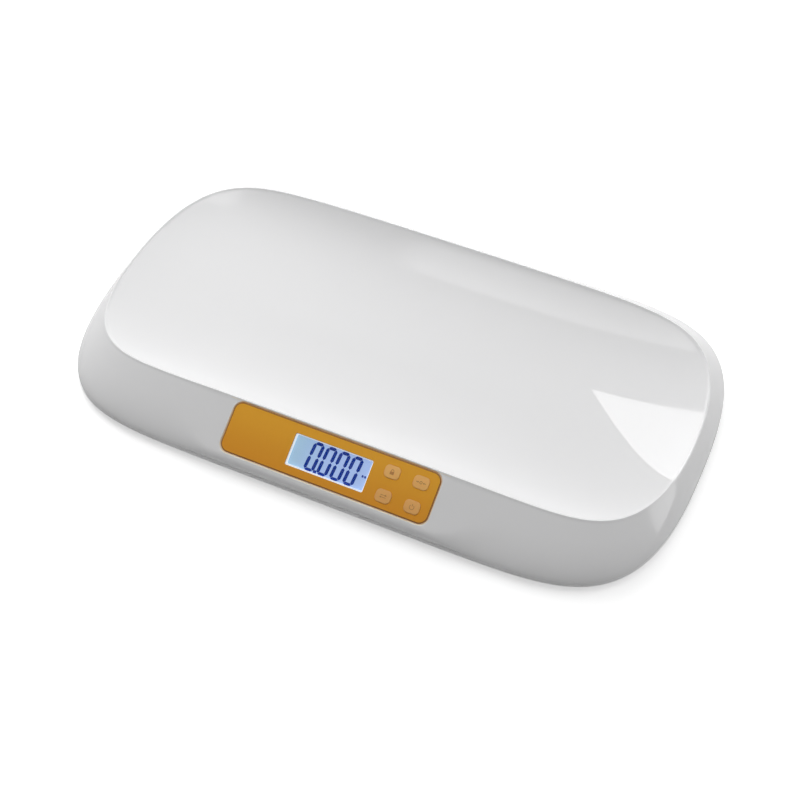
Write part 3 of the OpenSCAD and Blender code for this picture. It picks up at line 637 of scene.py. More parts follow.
def stacked(rings, offset=0):
    """Vertices and faces of a closed skin over rings in their order"""
    count = len(rings[0])
    verts = np.concatenate(rings)
    faces = []
    for r in range(len(rings) - 1):
        low, high = offset + r * count, offset + (r + 1) * count
        for i in range(count):
            k = (i + 1) % count
            faces.append((low + i, low + k, high + k, high + i))
    faces.append(tuple(offset + i for i in reversed(range(count))))
    faces.append(tuple(offset + (len(rings) - 1) * count + i for i in range(count)))
    return verts, faces


def joined(stacks):
    """Vertices and faces of several closed skins together"""
    verts, faces = [], []
    for rings in stacks:
        more, skin = stacked(rings, len(verts))
        verts.extend(more)
        faces.extend(skin)
    return verts, faces


def from_rings(name, rings, finishes, place=None):
    verts, faces = stacked(rings)
    return new_piece(name, verts, faces, finishes, place)


def settle(piece):
    """Applies a piece's modifiers to its mesh, which keeps its name"""
    depsgraph = bpy.context.evaluated_depsgraph_get()
    made = bpy.data.meshes.new_from_object(piece.evaluated_get(depsgraph))
    piece.modifiers.clear()
    old, piece.data = piece.data, made
    name = old.name
    bpy.data.meshes.remove(old)
    made.name = name


def carve(piece, stacks, operation="DIFFERENCE", place=None):
    """Cuts closed stacks of rings out of a piece, or joins them on"""
    for rings in stacks:
        tool = from_rings("tool", rings, [], place)
        step = piece.modifiers.new("carve", "BOOLEAN")
        step.operation, step.solver, step.object = operation, "EXACT", tool
        settle(piece)
        bpy.data.meshes.remove(tool.data)
    smooth(piece)


def finish_piece(piece, body, slot, *nodes):
    """Puts a piece on its body, in place of the nodes it replaces; slot is not used"""
    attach(piece, body)
    if nodes:
        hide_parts(*nodes)


def moved(rings, x, y):
    return [ring + np.array([x, y, 0]) for ring in rings]


def middle_of(node):
    low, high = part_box(node)
    return (low + high) / 2


def width_of(node):
    low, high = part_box(node)
    return high.x - low.x


def key_spots():
    """Middle of each key cap in the panel's axes, by the key's name"""
    place = panel_place()
    row_height = abs((middle_of("hold_switch") - place.mid).dot(place.up))
    return {
        name: ((middle_of(name + "_key") - place.mid).dot(place.right), row * row_height)
        for name, row in KEY_ROWS.items()}


def housing_shape():
    return Housing(bpy.context.scene.scale_housing)


def panel_place():
    return PanelPlace(housing_shape(), bpy.context.scene.scale_panel)


# ---- Pieces ----

# Corners, gaps and steps that several pieces share
ROUND_STEPS, FOOT_BORE_STEPS, SCREW_BORE_STEPS = 72, 64, 32
WINDOW_R = 1.5 * MM
RECESS_INSET = 0.3 * MM
CUT_DEPTH, CUT_HEIGHT = -6 * MM, 10 * MM
SQUARE = ((-1, -1), (1, -1), (1, 1), (-1, 1))

# Numbers of rings over each stretch of the upper moulding
DISH_RINGS, RIM_RINGS, SKIRT_RINGS, BEND_RINGS, DRAFT_RINGS = 61, 14, 16, 24, 4
INNER_SKIRT_RINGS, INNER_DISH_RINGS = 12, 20
DISH_SPACING = 0.9

# The rounding of its lower edge, as insets and heights of rings
SEAM_ROUNDING = 0.3 * MM
SEAM_EDGE = ((0.15 * MM, 0.1 * MM), (0.5 * MM, 0))

# How far its inside lies in and down, in thicknesses of the wall
BEND_INSIDE = (0.85, 0.45)
SKIRT_INSIDE = (0.7, 0.75)
RIM_INSIDE = 1.3
INNER_RIM_INSET = 0.2 * MM
INNER_BEND_SHARES, INNER_DISH_START = (0.75, 0.5, 0.25), 0.95

# The panel's lip: rounding in widths of the lip, and the faces that take its painted highlight
LIP_ROUNDING = ((0.08, 0.88), (0.82, 0.14), (0.93, 0.05), (1.1, 0))
LIP_FLARE = 4
LIP_BOTTOM, LIP_TOP = 0.9, 0.4 * MM
LIP_SLOPES = (0.15, 0.98)
KEY_HOLE_GAP = 0.35 * MM
PANEL_CORNER_STEPS = 12


def steps_to(end, count):
    """Even steps from 0 to end, without the 0"""
    return np.linspace(0, end, count + 1)[1:]


def upper_outside(h, s):
    """Rings from the tray's floor over the rim and down the skirt to the seam"""
    shares = FLAT_SHARE + (1 - FLAT_SHARE) * np.linspace(0, 1, DISH_RINGS) ** DISH_SPACING
    rings = [h.dish(share) for share in shares]
    for t in steps_to(math.pi, RIM_RINGS):
        out = -math.cos(t)
        rings.append(h.rim(s.rim_wid / 2 * (1 + out), RIM_EDGE * abs(out) ** RIM_ROUND))
    rings += [h.skirt(share * h.bend_start) for share in steps_to(1, SKIRT_RINGS)]
    rings += [h.bend(u) for u in steps_to(1, BEND_RINGS)]
    for t in steps_to(1, DRAFT_RINGS):
        z = mixed(h.upright_h, s.seam_h + SEAM_ROUNDING, t)
        rings.append(h.level(mixed(0, SEAM_DRAFT, t), z))
    return rings + [h.level(SEAM_DRAFT + inset, s.seam_h + up) for inset, up in SEAM_EDGE]


def upper_inside(h, s):
    """Rings from the seam back up the inside to the tray's floor"""
    wall = s.wall
    rings = [h.level(SEAM_DRAFT + wall, s.seam_h), h.level(wall, h.upright_h)]
    inset, down = (share * wall for share in BEND_INSIDE)
    rings += [h.bend(u, inset, down) for u in INNER_BEND_SHARES]
    inset, down = (share * wall for share in SKIRT_INSIDE)
    rings += [h.skirt(share * h.bend_start, inset, down)
              for share in np.linspace(1, 0.1, INNER_SKIRT_RINGS)]
    rings.append(h.rim(-INNER_RIM_INSET, RIM_INSIDE * wall))
    shares = np.linspace(INNER_DISH_START, FLAT_SHARE, INNER_DISH_RINGS)
    return rings + [h.dish(share, wall) for share in shares]


def panel_cuts(p):
    """The overlay's recess with its bevelled lip, and the holes for the window and the keys"""
    levels = [(RECESS_INSET, -p.recess_d), (RECESS_INSET, -p.lip)]
    levels += [(RECESS_INSET - p.lip * out, -p.lip * down) for out, down in LIP_ROUNDING]
    levels.append((RECESS_INSET - LIP_FLARE * p.lip, CUT_HEIGHT))
    recess = rect_stack(p.panel_w, p.panel_h + p.reach, p.panel_r, levels, PANEL_CORNER_STEPS)
    window = rect_stack(p.lcd_w, p.lcd_h, WINDOW_R, [(p.ledge, CUT_DEPTH), (p.ledge, CUT_HEIGHT)])
    key_hole = rect_stack(p.key_w, p.key_h, p.key_r,
                          [(-KEY_HOLE_GAP, CUT_DEPTH), (-KEY_HOLE_GAP, CUT_HEIGHT)])
    cuts = [moved(recess, 0, p.reach / 2), window]
    return cuts + [moved(key_hole, x, y) for x, y in key_spots().values()]


def paint_lip_highlight(piece, place, p):
    """Paints a highlight on the bevel round the recess, tinted as if lit by the amber overlay"""
    to_panel = place.matrix().inverted()
    side, low = p.panel_w / 2 + p.lip, -p.panel_h / 2 - p.lip
    high = p.panel_h / 2 + p.reach + p.lip
    for face in piece.data.polygons:
        at = to_panel @ face.center
        inside = abs(at.x) < side and low < at.y < high
        sloped = LIP_SLOPES[0] < face.normal.dot(place.out) < LIP_SLOPES[1]
        if inside and sloped and -LIP_BOTTOM * p.recess_d < at.z < LIP_TOP:
            face.material_index = 1


class SCALE_OT_upper_housing(bpy.types.Operator):
    """Adds the dished upper moulding with the panel's recess"""

    bl_idname = "baby_scale.upper_housing"
    bl_label = "Upper housing"

    def execute(self, context):
        h, s, p = housing_shape(), context.scene.scale_housing, context.scene.scale_panel
        colours = context.scene.scale_finishes
        place = panel_place()
        white = moulded_white("gloss_white", colours.shell, 0.07, 1100, 0.004 * MM)
        rings = upper_outside(h, s) + upper_inside(h, s)
        piece = from_rings("upper_housing", rings, [white])
        carve(piece, panel_cuts(p), place=place.matrix())
        # Painted highlight: the lip's bevel gets a pale amber tint in place of the white moulding
        piece.data.materials.append(ink_and_painted_light("panel_lip_painted_highlight", colours.lip, 0.3))
        paint_lip_highlight(piece, place, p)
        finish_piece(piece, "scale", "white_shell", "top_shell")
        return {"FINISHED"}


# The base pan's section: inset and height in millimetres from its underside, then from its top
PAN_ROUNDING = (
    (2.4, 0), (1.8, 0.05), (1.2, 0.22), (0.7, 0.55), (0.35, 1.0), (0.12, 1.6), (0.03, 2.1),
    (0.07, 2.5), (0.22, 2.8))
PAN_CHAMFER = ((1.0, 0.2), (1.15, 0.06), (1.35, 0), (1.9, 0))
PAN_FLOOR, PAN_WALL = 2.4 * MM, 3.3 * MM
OVERLAP = 0.2 * MM
POCKET_W, POCKET_H = 38.8 * MM, 5.6 * MM
BLOCK_R = 0.5 * MM

# Bores in millimetres: radius past the foot's or from the axis, and height above the underside
FOOT_BORE = ((1.9, -1), (1.9, 0), (1.6, 0.3), (1.6, 2.6), (-1, 2.6))
FOOT_BORE_TOP = 20 * MM
SCREW_BORE = ((3.4, -1), (3.4, 0), (3.2, 0.2), (3.2, 2.5), (2.9, 2.6))
SCREW_HEAD_SPAN = 8 * MM

# The battery well: its wall and roof, the room round the cells, and the cover's opening
WELL_WALL, WELL_ROOF = 1.6 * MM, 1.4 * MM
SPRING_ROOM, CELL_ROOM, ROOM_ABOVE_CELLS = 0.02 * MM, 1.1 * MM, 0.3 * MM
WELL_R, COVER_OPENING_R = 0.3 * MM, 3.4 * MM
COVER_GAP = 0.8 * MM
COVER_OPENING = ((-0.3, -1), (-0.3, 0), (0, 0.3), (0, 1.8))


def cells_mid_y():
    low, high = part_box("battery_cells")
    return (low.y + high.y) / 2


def battery_well(low, floor):
    """The box round the cells, and the cuts for the cover and for the cells"""
    cover_low, cover_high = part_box("battery_cover")
    cells_low, cells_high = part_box("battery_cells")
    mid_y = cells_mid_y()
    w = width_of("battery_springs") + SPRING_ROOM
    h = cells_high.y - cells_low.y + CELL_ROOM
    top = cells_high.z + ROOM_ABOVE_CELLS
    box = rect_stack(w + 2 * WELL_WALL, h + 2 * WELL_WALL, BLOCK_R,
                     [(0, floor - OVERLAP), (0, top + WELL_ROOF)], 2)
    opening = rect_stack(
        cover_high.x - cover_low.x + COVER_GAP, 2 * (cover_high.y - mid_y) + COVER_GAP,
        COVER_OPENING_R, [(inset * MM, low + up * MM) for inset, up in COVER_OPENING])
    well = rect_stack(w, h, WELL_R, [(0, low - 1 * MM), (0, top)], 2)
    return [moved(rings, 0, mid_y) for rings in (box, opening, well)]


def screw_spots():
    """Middle of each housing screw, found from the separate shells of their node"""
    mesh = frame["nodes"]["housing_screws"].data
    points = np.array([v.co for v in mesh.vertices])
    heads = points[points[:, 2] < points[:, 2].min() + 0.1 * MM]
    groups = []
    for point in heads:
        near = [g for g in groups if np.hypot(*(g[0][:2] - point[:2])) < SCREW_HEAD_SPAN]
        if near:
            near[0].append(point)
        else:
            groups.append([point])
    return [Vector((np.array(group).min(0) + np.array(group).max(0)) / 2) for group in groups]


class SCALE_OT_base_pan(bpy.types.Operator):
    """Adds the base pan with its foot holes, screw holes and battery well"""

    bl_idname = "baby_scale.base_pan"
    bl_label = "Base pan"

    def execute(self, context):
        h, s = housing_shape(), context.scene.scale_housing
        low, top = s.base_clear, s.seam_h - s.seam_gap
        floor = low + PAN_FLOOR
        rings = [h.level(inset * MM, low + up * MM) for inset, up in PAN_ROUNDING]
        rings += [h.level(inset * MM, top - down * MM) for inset, down in PAN_CHAMFER]
        rings += [h.level(PAN_WALL, top), h.level(PAN_WALL, floor)]
        base = context.scene.scale_finishes.base
        white = moulded_white("satin_white", base, 0.32, 1600, 0.02 * MM)
        piece = from_rings("base_pan", rings, [white])
        feet = [name for name in frame["nodes"] if name.startswith("foot_cap_")]
        corners = [middle_of(name) for name in feet]
        box, opening, well = battery_well(low, floor)
        pocket = rect_stack(POCKET_W, POCKET_W, BLOCK_R,
                            [(0, floor - OVERLAP), (0, low + POCKET_H)], 2)
        carve(piece, [box] + [moved(pocket, v.x, v.y) for v in corners], "UNION")
        foot_r = width_of(feet[0]) / 2
        profile = [(foot_r + out * MM, low + up * MM) for out, up in FOOT_BORE]
        profile.append((profile[-1][0], FOOT_BORE_TOP))
        foot_bore = round_stack(profile, FOOT_BORE_STEPS)
        profile = [(r * MM, low + up * MM) for r, up in SCREW_BORE]
        screw_bore = round_stack(profile, SCREW_BORE_STEPS)
        cuts = [moved(foot_bore, v.x, v.y) for v in corners]
        cuts += [moved(screw_bore, v.x, v.y) for v in screw_spots()]
        carve(piece, cuts + [opening, well])
        finish_piece(piece, "scale", "white_base", "base_shell")
        return {"FINISHED"}


# The overlay's edge, and its holes: the gap at the bottom, the gap and depth of their softened
# edge, and the gap at the top of the cut
OVERLAY_ROUNDING = 0.3 * MM
OVERLAY_MARGIN = 1.0 * MM
WINDOW_HOLE = (0.03 * MM, 0.12 * MM, 0.1 * MM, 0.15 * MM)
KEY_HOLE = (0.13 * MM, 0.3 * MM, 0.15 * MM, 0.33 * MM)
OVERLAY_CUT = 4 * MM


def hole_levels(top, gap, edge_gap, edge_depth, outer_gap):
    """Levels of a hole through the overlay with a softened upper edge"""
    return [(-gap, -OVERLAY_CUT), (-gap, top - edge_depth), (-edge_gap, top),
            (-outer_gap, OVERLAY_CUT)]


class SCALE_OT_overlay(bpy.types.Operator):
    """Adds the amber overlay"""

    bl_idname = "baby_scale.overlay"
    bl_label = "Overlay"

    def execute(self, context):
        p = context.scene.scale_panel
        place = panel_place()
        top = p.overlay_t - p.recess_d
        edge = RECESS_INSET + p.groove
        levels = softened(-p.recess_d, top, OVERLAY_ROUNDING) + [(OVERLAY_MARGIN, top)]
        rings = rect_stack(p.panel_w - 2 * edge, p.panel_h + p.reach - 2 * edge, p.panel_r - edge,
                           levels, PANEL_CORNER_STEPS)
        rings = moved(rings, 0, p.reach / 2)
        edge_painted_shade = ink_and_painted_light("amber_border", context.scene.scale_finishes.edge_painted_shade, 0.35)
        finishes = [amber_print(place), edge_painted_shade]
        piece = from_rings("amber_overlay", rings, finishes, place.matrix())
        # Painted shade on the overlay's rounded edge and the narrow band just inside it
        count = len(rings[0])
        for face in piece.data.polygons[count:count * (len(rings) - 1)]:
            face.material_index = 1
        key_hole = rect_stack(p.key_w, p.key_h, p.key_r, hole_levels(top, *KEY_HOLE))
        cuts = [rect_stack(p.lcd_w, p.lcd_h, WINDOW_R, hole_levels(top, *WINDOW_HOLE))]
        cuts += [moved(key_hole, x, y) for x, y in key_spots().values()]
        carve(piece, cuts, place=place.matrix())
        finish_piece(piece, "scale", "orange_overlay", "display_overlay")
        return {"FINISHED"}


# The digits: seven bars each on a cell of width 1 and height 1
SEGMENTS = {
    "top": ((0, 1), (1, 1)), "upper_left": ((0, 1), (0, 0.5)), "upper_right": ((1, 1), (1, 0.5)),
    "lower_left": ((0, 0.5), (0, 0)), "lower_right": ((1, 0.5), (1, 0)),
    "bottom": ((0, 0), (1, 0)),
}
DIGITS = 4
STROKE, DIGIT_W, DIGIT_H, DIGIT_PITCH, DIGIT_SLANT = 2.8 * MM, 7.0 * MM, 22.6 * MM, 11.7 * MM, 0.08
DIGITS_START, DIGITS_FOOT = 0.235, 1.2 * MM
SEGMENT_GAP = 0.15 * MM
UNIT_BLOCK = (0.8 * MM, 0.9 * MM)
UNIT_BLOCK_PITCH, UNIT_INSET, UNIT_DROP = 2.2, 5.0, 1 * MM


def thick_line(start, end, width, gap):
    """A bar with pointed ends between two points, as a display segment is"""
    a, b = Vector(start), Vector(end)
    along = (b - a).normalized()
    across = Vector((-along.y, along.x)) * width / 2
    a, b = a + along * gap, b - along * gap
    cut = along * width / 2
    return [a, a + cut - across, b - cut - across, b, b - cut + across, a + cut + across]


def block(x, y, half_w, half_h):
    """Outline of a rectangle round a point"""
    return [(x + u * half_w, y + v * half_h) for u, v in SQUARE]


def flat_shapes(name, outlines, z, thickness, finish, place):
    """Thin plates of flat outlines in the panel's axes"""
    stacks = [[np.array([(x, y, level) for x, y in outline]) for level in (z, z + thickness)]
              for outline in outlines]
    verts, faces = joined(stacks)
    return new_piece(name, verts, faces, [finish], place)


def digit_outlines(p):
    """Outlines of the digits, the point after the first one and the unit's blocks"""
    outlines = []
    foot = -0.5 * p.lcd_h + DIGITS_FOOT + STROKE / 2
    first = -0.5 * p.lcd_w + DIGITS_START * p.lcd_w
    for i in range(DIGITS):
        left = first + i * DIGIT_PITCH
        for ends in SEGMENTS.values():
            a, b = [Vector((left + u * DIGIT_W, foot + v * DIGIT_H)) for u, v in ends]
            bar = thick_line(a, b, STROKE, SEGMENT_GAP)
            outlines.append([(v.x + DIGIT_SLANT * (v.y - foot), v.y) for v in bar])
    point = first + DIGIT_W + (DIGIT_PITCH - DIGIT_W) / 2
    outlines.append(block(point, foot, STROKE / 2, STROKE / 2))
    for i in range(2):
        x = 0.5 * p.lcd_w - (UNIT_INSET - UNIT_BLOCK_PITCH * i) * MM
        outlines.append(block(x, -UNIT_DROP, *UNIT_BLOCK))
    return outlines


# The liner's wide and narrow sides, and how far it stands clear of the opening, window and glass
LINER_WIDE, LINER_NARROW = 1.1 * MM, 0.5 * MM
LINER_GAP, LINER_TOP_GAP, LINER_GLASS_GAP = 0.01 * MM, 0.02 * MM, 0.25 * MM
LINER_R = 0.9 * MM


def add_liner(p, place):
    """White frame in the window's opening, wider at left and below, where light passes the glass"""
    high, low = -p.recess_d - LINER_TOP_GAP, -p.glass_depth + LINER_GLASS_GAP
    inset = p.ledge + LINER_GAP
    outer = rect_stack(p.lcd_w, p.lcd_h, WINDOW_R, [(inset, low), (inset, high)])
    # The liner's glow is painted light
    liner = from_rings("display_liner", outer, [liner_painted_glow()], place.matrix())
    w, h = (size - 2 * p.ledge - LINER_WIDE - LINER_NARROW for size in (p.lcd_w, p.lcd_h))
    opening = rect_stack(w, h, LINER_R, [(0, 2 * low), (0, high + 1 * MM)])
    shift = (LINER_WIDE - LINER_NARROW) / 2
    carve(liner, [moved(opening, shift, shift)], place=place.matrix())
    finish_piece(liner, "scale", "inner_white")


class SCALE_OT_display(bpy.types.Operator):
    """Adds the display window, the liner and the digits on the display glass"""

    bl_idname = "baby_scale.display"
    bl_label = "Display"

    def execute(self, context):
        p = context.scene.scale_panel
        place = panel_place()
        levels = softened(-p.recess_d, p.overlay_t - p.recess_d, 0.15 * MM, 3)
        rings = rect_stack(p.lcd_w, p.lcd_h, WINDOW_R, levels)
        window = from_rings("display_window", rings, [clear_window()], place.matrix())
        finish_piece(window, "scale", "clear_window", "lcd_window")
        add_liner(p, place)
        ink = ink_and_painted_light("digit_ink", context.scene.scale_finishes.digit, 0.3, 0.08)
        digits = flat_shapes("display_digits", digit_outlines(p), -p.glass_depth + 0.01 * MM,
                             0.05 * MM, ink, place.matrix())
        finish_piece(digits, "scale", "lcd")
        return {"FINISHED"}


MARK_STROKE = 0.55


def ribbon(points, width=MARK_STROKE):
    """Outline of a line of even width through points"""
    path = [Vector(p) for p in points]
    left, right = [], []
    for i, point in enumerate(path):
        along = (path[min(i + 1, len(path) - 1)] - path[max(i - 1, 0)]).normalized()
        across = Vector((-along.y, along.x)) * width / 2
        left.append(point + across)
        right.append(point - across)
    return [(v.x, v.y) for v in right + left[::-1]]


def arc(x, y, radius, start, end, steps=14):
    """Points of an arc between two angles in degrees"""
    angles = [math.radians(start + (end - start) * i / steps) for i in range(steps + 1)]
    return [(x + radius * math.cos(t), y + radius * math.sin(t)) for t in angles]


def key_marks():
    """Outlines of each key's plain symbol, in millimetres"""
    shackle = [(-1.1, 0.3)] + arc(0, 0.9, 1.1, 180, 0) + [(1.1, 0.3)]
    padlock = [[(-1.7, -2.1), (1.7, -2.1), (1.7, 0.3), (-1.7, 0.3)], ribbon(shackle)]
    inward = [ribbon([(side * 4.2, 0), (side * 2.2, 0)]) for side in (-1, 1)]
    inward += [[(side * 1.7, 0), (side * 2.7, 0.9), (side * 2.7, -0.9)][::side]
               for side in (-1, 1)]
    inward += [ribbon(arc(0, 0, 1.0, 0, 350))]
    swap = [ribbon([(-2.6 * side, 0.9 * side), (1.6 * side, 0.9 * side)]) for side in (-1, 1)]
    swap += [[(3.0 * side, 0.9 * side), (1.4 * side, -0.1 * side), (1.4 * side, 1.9 * side)]
             for side in (-1, 1)]
    power = [ribbon(arc(0, -0.2, 1.9, 130, 410)), ribbon([(0, 0.4), (0, 2.4)])]
    return {"hold": padlock, "tare": inward, "unit": swap, "power": power}


# A key's stem below its cap, and the cap's rounding and slight crown, as insets and heights
STEM_INSET, STEM_LOW, STEM_HIGH = -1.4 * MM, -4.2 * MM, -3.2 * MM
CAP_LOW, CAP_ROUNDING = -2 * MM, 0.45 * MM
CROWN = ((1.4 * MM, 0.015 * MM), (3.0 * MM, 0))
CROWN_H = 0.06 * MM


class SCALE_OT_keys(bpy.types.Operator):
    """Adds the four key caps with their symbols"""

    bl_idname = "baby_scale.keys"
    bl_label = "Keys"

    def execute(self, context):
        p = context.scene.scale_panel
        place = panel_place()
        cap_finish = key_plastic(place)
        mark_finish = ink_and_painted_light("key_mark_ink", context.scene.scale_finishes.mark)
        top = p.overlay_t - p.recess_d + p.key_proud
        levels = [(STEM_INSET, STEM_LOW), (STEM_INSET, STEM_HIGH), (0, STEM_HIGH)]
        levels += softened(CAP_LOW, top - CROWN_H, CAP_ROUNDING, 5)
        levels += [(inset, top - down) for inset, down in CROWN]
        rings = rect_stack(p.key_w, p.key_h, p.key_r, levels, 10)
        marks = key_marks()
        for name, (x, y) in key_spots().items():
            spot, body = place.matrix(x, y), name + "_button"
            cap = from_rings(name + "_key_cap", rings, [cap_finish], spot)
            finish_piece(cap, body, "orange_key", name + "_key")
            outlines = [[(u * MM, v * MM) for u, v in outline] for outline in marks[name]]
            mark = flat_shapes(name + "_key_mark", outlines, top - 0.05 * MM, 0.07 * MM,
                               mark_finish, spot)
            finish_piece(mark, body, "orange_key")
        return {"FINISHED"}


# A foot's cap: the gap round the pad, its rounded edge, and its collar and pin in millimetres
PAD_GAP, PAD_LIP = 0.1 * MM, 0.5 * MM
CAP_EDGE = 1.0 * MM
CAP_COLLAR = ((6, 5.8), (6, 9.6), (1.9, 9.6))
# The pad's edge as inset and height, its round grooves, and its hollow middle, in millimetres
PAD_EDGE = ((0, 0.45), (0.15, 0.12), (0.5, 0))
PAD_GROOVES = (9.5, 7.0, 4.5)
GROOVE_SECTION = ((0.6, 0), (0.35, 0.4), (-0.35, 0.4), (-0.6, 0))
PAD_MIDDLE = ((2.0, 0), (1.6, 0.3))


def foot_cap_profile(r, low, high, pad_r, pad_t):
    """Radius and height from the pad's seat round the cap's edge and up to its pin"""
    seat = pad_r + PAD_GAP
    profile = [(seat, pad_t), (seat, pad_t - PAD_LIP), (pad_r + 0.3 * MM, low)]
    profile += [(r - CAP_EDGE + CAP_EDGE * math.sin(t), low + CAP_EDGE * (1 - math.cos(t)))
                for t in np.linspace(0, math.pi / 2, 6)]
    profile.append((r, 5.8 * MM))
    profile += [(radius * MM, z * MM) for radius, z in CAP_COLLAR]
    return profile + [(1.9 * MM, high)]


def pad_profile(r, thickness):
    """Radius and height from the pad's top round its edge and over the tread to its middle"""
    profile = [(r, thickness)] + [(r - inset * MM, z * MM) for inset, z in PAD_EDGE]
    for groove in PAD_GROOVES:
        profile += [((groove + out) * MM, z * MM) for out, z in GROOVE_SECTION]
    return profile + [(radius * MM, z * MM) for radius, z in PAD_MIDDLE]


class SCALE_OT_feet(bpy.types.Operator):
    """Adds the four feet: a cap and a ribbed rubber pad each"""

    bl_idname = "baby_scale.feet"
    bl_label = "Feet"

    def execute(self, context):
        cap_finish = plastic("foot_plastic", (0.72, 0.72, 0.73), 0.4)
        rubber = soft_rubber()
        for corner in ("front_left", "front_right", "back_left", "back_right"):
            low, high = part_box("foot_cap_" + corner)
            middle, r = (low + high) / 2, (high.x - low.x) / 2
            pad_r, pad_t = width_of("foot_pad_" + corner) / 2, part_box("foot_pad_" + corner)[1].z
            profile = foot_cap_profile(r, low.z, high.z, pad_r, pad_t)
            rings = round_stack(profile, ROUND_STEPS)
            cap = from_rings("foot_" + corner, moved(rings, middle.x, middle.y), [cap_finish])
            finish_piece(cap, "scale", "foot_grey", "foot_cap_" + corner)
            rings = round_stack(pad_profile(pad_r, pad_t)[::-1], ROUND_STEPS)
            pad = from_rings("pad_" + corner, moved(rings, middle.x, middle.y), [rubber])
            finish_piece(pad, "scale", "grey_rubber", "foot_pad_" + corner)
        return {"FINISHED"}


# The battery cover: its edge as inset and height in millimetres, tabs, latch slots and grip ribs
DOOR_R = 3 * MM
DOOR_EDGE = ((0.35, 0), (0.1, 0.1), (0, 0.35))
TAB_W, TAB_H, TAB_LOW, TAB_HIGH = 8 * MM, 5.4 * MM, 0.95 * MM, 1.95 * MM
LATCH_HALF_W, SLOT_W, SLOT_H, SLOT_INSET = 7 * MM, 1 * MM, 12 * MM, 3 * MM
GRIPS, GRIP_W, GRIP_H, GRIP_DEPTH = 4, 9 * MM, 0.8 * MM, 0.5 * MM
GRIP_START, GRIP_PITCH = 2.0, 1.8


class SCALE_OT_battery_cover(bpy.types.Operator):
    """Adds the battery cover with its latch"""

    bl_idname = "baby_scale.battery_cover"
    bl_label = "Battery cover"

    def execute(self, context):
        low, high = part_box("battery_cover")
        mid_y = cells_mid_y()
        w, h = high.x - low.x, 2 * (high.y - mid_y)
        levels = [(inset * MM, low.z + up * MM) for inset, up in DOOR_EDGE] + [(0, high.z)]
        base = context.scene.scale_finishes.base
        white = moulded_white("door_white", base, 0.34, 1600, 0.02 * MM)
        plate = moved(rect_stack(w, h, DOOR_R, levels), 0, mid_y)
        cover = from_rings("battery_door", plate, [white])
        tab = rect_stack(TAB_W, TAB_H, 0.4 * MM, [(0, low.z + TAB_LOW), (0, low.z + TAB_HIGH)], 2)
        for side in (-1, 1):
            tab_x = side * (w - 5 * MM) / 4
            carve(cover, [moved(tab, tab_x, low.y + TAB_H / 2)], "UNION")
        slot = rect_stack(SLOT_W, SLOT_H, 0.4 * MM, [(0, 0), (0, 20 * MM)], 4)
        cuts = [moved(slot, side * LATCH_HALF_W, high.y - SLOT_INSET) for side in (-1, 1)]
        grip = rect_stack(GRIP_W, GRIP_H, 0.35 * MM,
                          [(-0.2 * MM, 0), (0, low.z + GRIP_DEPTH)], 4)
        cuts += [moved(grip, 0, high.y - (GRIP_START + GRIP_PITCH * i) * MM) for i in range(GRIPS)]
        carve(cover, cuts)
        finish_piece(cover, "cover", "white_base", "battery_cover")
        return {"FINISHED"}


class SCALE_OT_fittings(bpy.types.Operator):
    """Gives the carried-over fittings their finishes"""

    bl_idname = "baby_scale.fittings"
    bl_label = "Fittings"

    def execute(self, context):
        shell = context.scene.scale_finishes.shell
        finishes = {
            "white_shell": moulded_white("shell_white", shell, 0.1, 1100, 0.004 * MM),
            "white_base": plastic("base_white", (0.8, 0.8, 0.81)),
            "orange_overlay": plastic("amber", (0.5, 0.22, 0.02)),
            "orange_key": plastic("key_amber", (0.7, 0.3, 0.1)),
            "clear_window": plastic("window_frame", (0.8, 0.85, 0.9)),
            "lcd": lit_glass(panel_place()),
            "light_guide": plastic("light_guide", (0.8, 0.88, 0.95), 0.25),
            "inner_white": plastic("inner_white", (0.78, 0.78, 0.75)),
            "black_plastic": plastic("black_plastic", (0.035, 0.035, 0.04)),
            "circuit_board": board_green(),
            "steel": metal("pressed_steel", (0.62, 0.63, 0.65), 0.28, (1, 0.05, 1)),
            "nickel": metal("nickel_plate", (0.72, 0.71, 0.69), 0.16, (1, 1, 1)),
            "grey_rubber": soft_rubber(),
            "foot_grey": plastic("foot_grey", (0.72, 0.72, 0.73)),
            "battery_wrap": plastic("battery_wrap", (0.10, 0.16, 0.10), 0.25),
            "grey_lead": plastic("grey_lead", (0.55, 0.55, 0.56)),
            "red_lead": plastic("red_lead", (0.45, 0.03, 0.02)),
        }
        slots = {row["node"]: row["material_slot"] for row in frame["record"]["subparts"]}
        for name, node in frame["nodes"].items():
            node.data.materials.clear()
            node.data.materials.append(finishes[slots[name]])
        return {"FINISHED"}


# Turn from the back towards the right and height above the table in degrees, size in metres,
# power in watts, and whether glossy faces mirror it
SOFTBOXES = {
    "top_light": (0, 89, (1.2, 1.2), 8.9, True),
    "right_light": (60, 18, (1.3, 0.9), 7.4, True),
    "low_left_light": (-60, 18, (1.3, 0.9), 3.8, True),
    "back_light": (0, 18, (1.3, 0.9), 9.3, False),
    "left_light": (-60, 45, (1.3, 1.3), 15.4, False),
}
SOFTBOX_REACH = 1.8

# The strip mirrored in the tray: its power, place and size, the way it faces and its length's way
MIRROR_POWER = 5.8
MIRROR_AT, MIRROR_SIZE = (0.911, 0.398, 0.523), (2.838, 0.163)
MIRROR_FACING, MIRROR_ALONG = (0.384, 0.372, -0.845), (-0.725, -0.445, -0.526)

# The floor: half its side, how far out it turns plain white, and its lift as seen and as mirrored
FLOOR_REACH = 8
FLOOR_FADE = (0.6, 1.6)
NEAR_SHADE = 0.5
MIRRORED_LIFT = 0.12

